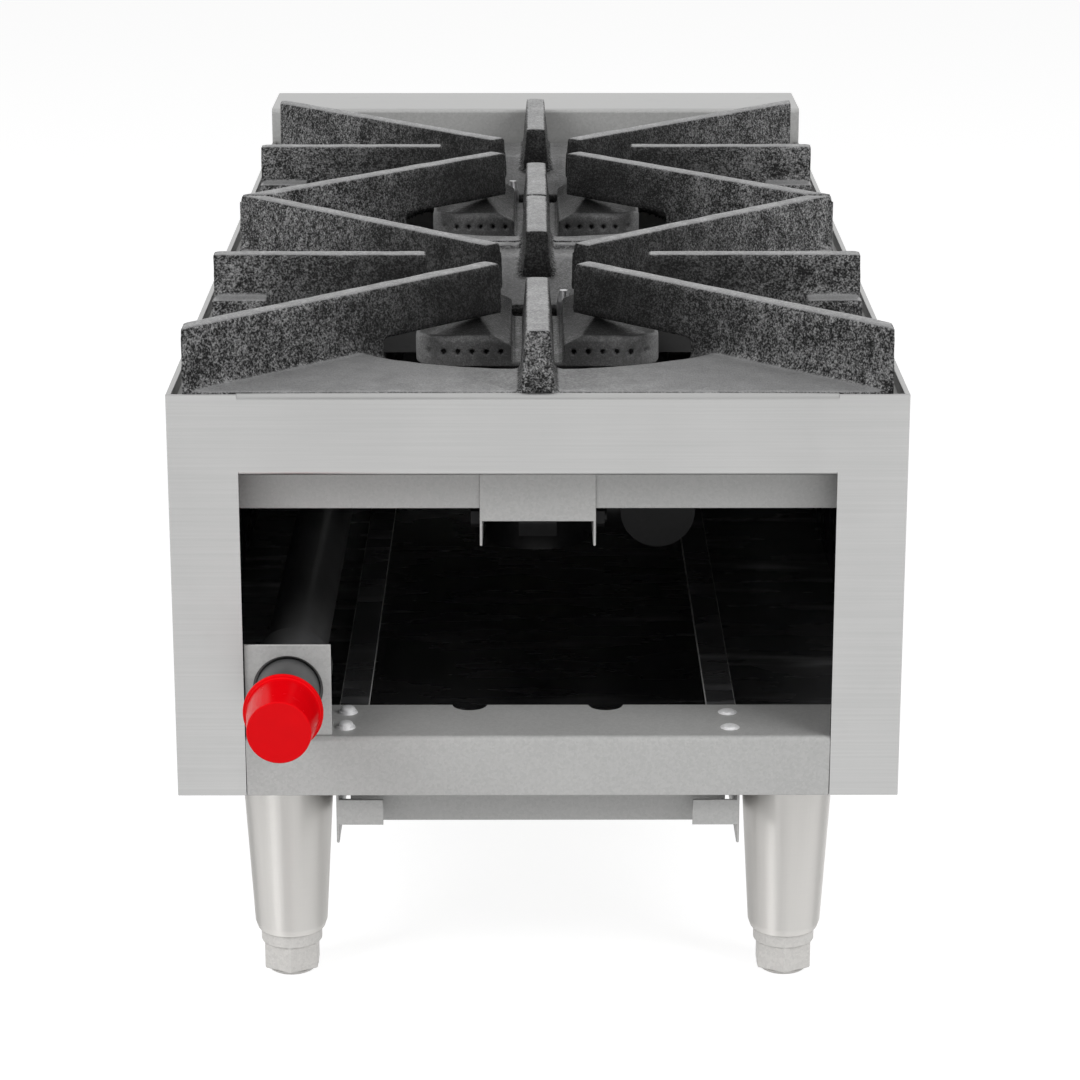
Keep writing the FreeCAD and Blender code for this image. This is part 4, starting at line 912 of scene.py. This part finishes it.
class HOTPLATE_OT_controls(bpy.types.Operator):
    """Valves, stems, orifices, dial plates and knobs"""

    bl_idname = "hotplate.controls"
    bl_label = "Controls"

    def execute(self, context):
        edges = context.scene.hotplate_edges
        sizes = context.scene.hotplate_fasteners
        look = finishes(context.scene.hotplate_colours)
        for name in SETS:
            dressed(name + "_valve_body", "brass", look["valve_brass"], edges.machined, shortest=SHORT_EDGE)
            dressed(name + "_valve_stem", "rod", look["bright_zinc"], 0.0)
            dressed(name + "_knob", "moulding", look["black_knob"], edges.knob, segments=3, shortest=0.004)
            self.pointer(name, sizes, look["mark_paint"])
        dressed("orifices", "brass", look["valve_brass"], edges.machined, shortest=SHORT_EDGE)
        dressed("dial_plates", "plate", look["satin_cross"], 0.0)
        centres = []
        for low, high in islands("dial_plates"):
            middle = (low + high) / 2
            centres.append((middle.x, low.y, middle.z))
            dial_radius = (high.x - low.x) / 2
        marks = grown("dial_marks", tick_recipe(), centres, {
            "Radius": dial_radius - sizes.tick_length / 2 - sizes.tick_gap, "Ticks": sizes.tick_count,
            "Tick length": sizes.tick_length, "Tick width": sizes.tick_width,
            "Tick height": sizes.mark_height, "Finish": look["black_knob"]})
        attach(marks, "chassis")
        return {"FINISHED"}

    def pointer(self, name, sizes, material):
        """A painted line on the end of a knob's grip, from near its rim towards the middle."""
        low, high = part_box(name + "_knob")
        shape = bmesh.new()
        bmesh.ops.create_cube(shape, size=1.0)
        size = Matrix.Diagonal((sizes.pointer_width, 2 * sizes.mark_height, sizes.pointer_length, 1.0))
        height = high.z - sizes.pointer_gap - sizes.pointer_length / 2
        shape.transform(Matrix.Translation(((low.x + high.x) / 2, low.y, height)) @ size)
        mesh = bpy.data.meshes.new(name + "_pointer")
        shape.to_mesh(mesh)
        shape.free()
        mesh.materials.append(material)
        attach(link(name + "_pointer", mesh), name + "_knob")


class HOTPLATE_OT_pilots(bpy.types.Operator):
    """Pilot tubes, tips, valves and straps"""

    bl_idname = "hotplate.pilots"
    bl_label = "Pilots"

    def execute(self, context):
        look = finishes(context.scene.hotplate_colours)
        for name in SETS:
            dressed(name + "_pilot_tube", "tube", look["pilot_aluminium"], 0.0)
            dressed(name + "_pilot_tip", "tip", look["pilot_aluminium"], 0.0)
        dressed("pilot_valves", "set", look["valve_brass"], 0.0)
        dressed("pilot_brackets", "set", look["spangled_sheet"], 0.0)
        return {"FINISHED"}


class HOTPLATE_OT_drip_tray(bpy.types.Operator):
    """Drip tray and the runners that carry it"""

    bl_idname = "hotplate.drip_tray"
    bl_label = "Drip tray"

    def execute(self, context):
        edges = context.scene.hotplate_edges
        look = finishes(context.scene.hotplate_colours)
        tray = sheet("drip_tray", look["satin_cross"], edges.tray)
        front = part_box("left_tray_rail")[0].y
        # Painted shade: the tray's upward faces inside take the dark coat, and its back the darker sheet
        coat_faces(tray, look["dark_inside"],
                   lambda centre, normal: normal.z > FACING and centre.y > front)
        coat_faces(tray, look["dull_sheet"], lambda centre, normal: normal.y > FACING)
        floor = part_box("left_side_panel")[0].z
        for node in ("left_tray_rail", "right_tray_rail"):
            rail = sheet(node, look["spangled_sheet"], edges.sheet)
            side = math.copysign(1.0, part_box(node)[1].x)
            # Painted shade on the coated inner faces; the outer sides and the cut edges of the coated faces stay
            # bare
            coat_faces(rail, look["dark_inside"], lambda centre, normal: centre.z > floor and (
                normal.x * side < -SQUARE_ON or abs(normal.z) > SQUARE_ON))
        return {"FINISHED"}


class HOTPLATE_OT_legs(bpy.types.Operator):
    """Turned legs and adjustable feet"""

    bl_idname = "hotplate.legs"
    bl_label = "Legs"

    def execute(self, context):
        edges = context.scene.hotplate_edges
        look = finishes(context.scene.hotplate_colours)
        for corner in CORNERS:
            for part, finish in (("leg_", "turned_leg"), ("foot_", "dull_foot")):
                dressed(part + corner, "turned", look[finish], edges.leg, segments=3, shortest=0.0003)
        dressed("leg_nuts", "set", look["bright_zinc"], edges.machined, shortest=SHORT_EDGE)
        return {"FINISHED"}


class HOTPLATE_OT_screws(bpy.types.Operator):
    """Screws of the tray runners and the control panel"""

    bl_idname = "hotplate.screws"
    bl_label = "Screws"

    def execute(self, context):
        sizes = context.scene.hotplate_fasteners
        look = finishes(context.scene.hotplate_colours)
        recipe = screw_recipe()
        seats = {"rail_screws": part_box("rear_bottom_rail")[1].z, "panel_screws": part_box("control_panel")[0].y}
        for node, seat in seats.items():
            upright = node == "rail_screws"
            spots = []
            for low, high in islands(node):
                middle = (low + high) / 2
                spots.append((middle.x, middle.y, seat) if upright else (middle.x, seat, middle.z))
                flange = (high.x - low.x) / 2
                head = high.z - seat if upright else seat - low.y
                shank = seat - low.z if upright else high.y - seat
            screws = grown(node + "_set", recipe, spots, {
                "Flange radius": flange, "Flange height": sizes.washer_height,
                "Head radius": flange * sizes.head_share, "Head height": head - sizes.washer_height,
                "Shank radius": flange * sizes.shank_share, "Shank length": shank,
                "Turn": (0.0, 0.0, 0.0) if upright else (math.pi / 2, 0.0, 0.0),
                "Finish": look["bright_zinc"]})
            if upright:
                # The two on the -X side have low heads
                for vert in screws.data.vertices:
                    if vert.co.x < 0 and vert.co.z > seat:
                        vert.co.z = seat + sizes.low_head * (vert.co.z - seat)
            stand_for(screws, node)
        return {"FINISHED"}


class HOTPLATE_OT_stage(bpy.types.Operator):
    """Floor, soft light and camera"""

    bl_idname = "hotplate.stage"
    bl_label = "Stage"

    def execute(self, context):
        stage = context.scene.hotplate_stage
        self.floor(stage)
        self.surroundings(context.scene, stage)
        self.lamp("left_lamp", 1.0, stage)
        self.lamp("right_lamp", -1.0, stage)
        away = stage.card_away
        tall = stage.card_height
        self.card("rear_card", away, tall, bearing=8.0, spread=18.0, tone=4 * stage.card)
        self.card("bright_card", away, stage.strip_height, bearing=36.0, spread=18.0, tone=stage.strip)
        self.card("left_card", away, tall, bearing=118.0, spread=36.0, tone=stage.card)
        self.card("right_card", away, tall, bearing=-104.0, spread=30.0, tone=stage.card)
        self.camera(context.scene, stage)
        context.scene.view_settings.view_transform = "Standard"
        return {"FINISHED"}

    def floor(self, stage):
        half = stage.floor_half
        mesh = bpy.data.meshes.new("floor")
        mesh.from_pydata([(-half, -half, 0), (half, -half, 0), (half, half, 0), (-half, half, 0)], [],
                         [(0, 1, 2, 3)])
        f = Finish("pale_floor")
        diffuse = f.add("ShaderNodeBsdfDiffuse", None, {"Color": opaque(stage.floor)})
        glow = f.add("ShaderNodeEmission", None, {"Strength": seen_directly(f) * stage.floor_lift})
        both = f.add("ShaderNodeAddShader", None, {0: diffuse, 1: glow})
        f.add("ShaderNodeOutputMaterial", None, {"Surface": both})
        mesh.materials.append(f.material)
        link("floor", mesh)

    def surroundings(self, scene, stage):
        world = bpy.data.worlds.new("studio")
        world.use_nodes = True
        world.node_tree.nodes.clear()
        g = Graph(world.node_tree)
        seen = seen_directly(g)
        strength = stage.fill + seen * (1.0 - stage.fill)
        glow = g.add("ShaderNodeBackground", None, {"Color": (1.0, 1.0, 1.0, 1.0), "Strength": strength})
        g.add("ShaderNodeOutputWorld", None, {"Surface": glow})
        scene.world = world

    def lamp(self, name, side, stage):
        """A soft lamp on the side +1 or -1 of the part."""
        light = bpy.data.lights.new(name, "AREA")
        light.shape = "SQUARE"
        light.size = stage.lamp_size
        light.energy = stage.side_light
        lamp = link(name, light)
        lamp.visible_glossy = False
        x, y, z = stage.lamp_place
        lamp.location = (side * x, y, z)
        aim = Vector((0.0, 0.0, stage.lamp_aim)) - lamp.location
        lamp.rotation_euler = aim.to_track_quat("-Z", "Y").to_euler()

    def card(self, name, away, tall, bearing, spread, tone):
        """An upright card that only mirrors see; its bearing and spread are in degrees about the part."""
        corners = []
        for end in (bearing - spread / 2, bearing + spread / 2):
            x = away * math.sin(math.radians(end))
            y = away * math.cos(math.radians(end))
            corners.extend([(x, y, 0.0), (x, y, tall)])
        mesh = bpy.data.meshes.new(name)
        mesh.from_pydata(corners, [], [(0, 1, 3, 2)])
        f = Finish(name)
        glow = f.add("ShaderNodeEmission", None, {"Strength": tone})
        f.add("ShaderNodeOutputMaterial", None, {"Surface": glow})
        mesh.materials.append(f.material)
        card = link(name, mesh)
        card.visible_camera = False
        card.visible_diffuse = False
        card.visible_shadow = False

    def camera(self, scene, stage):
        lens = bpy.data.cameras.new("camera")
        lens.sensor_width = 36.0
        lens.lens = stage.camera_lens
        lens.shift_x, lens.shift_y = stage.camera_shift
        camera = link("camera", lens)
        camera.location = stage.camera_place
        camera.rotation_euler = (math.pi / 2 - stage.camera_pitch, 0.0, math.pi - stage.camera_turn)
        scene.camera = camera


def seen_directly(graph):
    """One for rays that show the background itself: camera, mirror and glass rays."""
    path = graph.add("ShaderNodeLightPath")
    mirror = path.sum("MAXIMUM", path.other("Is Glossy Ray"), path.other("Is Transmission Ray"))
    return path.sum("MAXIMUM", path.other("Is Camera Ray"), mirror)


class HOTPLATE_PT_panel(bpy.types.Panel):
    """Lists the hotplate's pieces and settings"""

    bl_idname = "HOTPLATE_PT_panel"
    bl_label = "Hotplate"
    bl_space_type = "VIEW_3D"
    bl_region_type = "UI"
    bl_category = "Hotplate"

    def draw(self, context):
        column = self.layout.column()
        for operator in OPERATORS:
            column.operator(operator.bl_idname)
        for field, group in SETTINGS.items():
            column.label(text=group.__doc__)
            for setting in group.__annotations__:
                column.prop(getattr(context.scene, field), setting)


SETTINGS = {
    "hotplate_edges": HotplateEdges,
    "hotplate_casting": HotplateCasting,
    "hotplate_fasteners": HotplateFasteners,
    "hotplate_colours": HotplateColours,
    "hotplate_stage": HotplateStage,
}
OPERATORS = (
    HOTPLATE_OT_side_panels,
    HOTPLATE_OT_rails,
    HOTPLATE_OT_front,
    HOTPLATE_OT_grates,
    HOTPLATE_OT_burners,
    HOTPLATE_OT_gas_line,
    HOTPLATE_OT_inlet_cap,
    HOTPLATE_OT_controls,
    HOTPLATE_OT_pilots,
    HOTPLATE_OT_drip_tray,
    HOTPLATE_OT_legs,
    HOTPLATE_OT_screws,
    HOTPLATE_OT_stage,
)
CLASSES = (*SETTINGS.values(), *OPERATORS, HOTPLATE_PT_panel)


def register():
    for kind in CLASSES:
        bpy.utils.register_class(kind)
    for field, group in SETTINGS.items():
        setattr(bpy.types.Scene, field, PointerProperty(type=group))


def unregister():
    for field in SETTINGS:
        delattr(bpy.types.Scene, field)
    for kind in reversed(CLASSES):
        bpy.utils.unregister_class(kind)


def main():
    register()
    for operator in OPERATORS:
        group, name = operator.bl_idname.split(".")
        getattr(getattr(bpy.ops, group), name)()


if __name__ == "__main__":
    main()
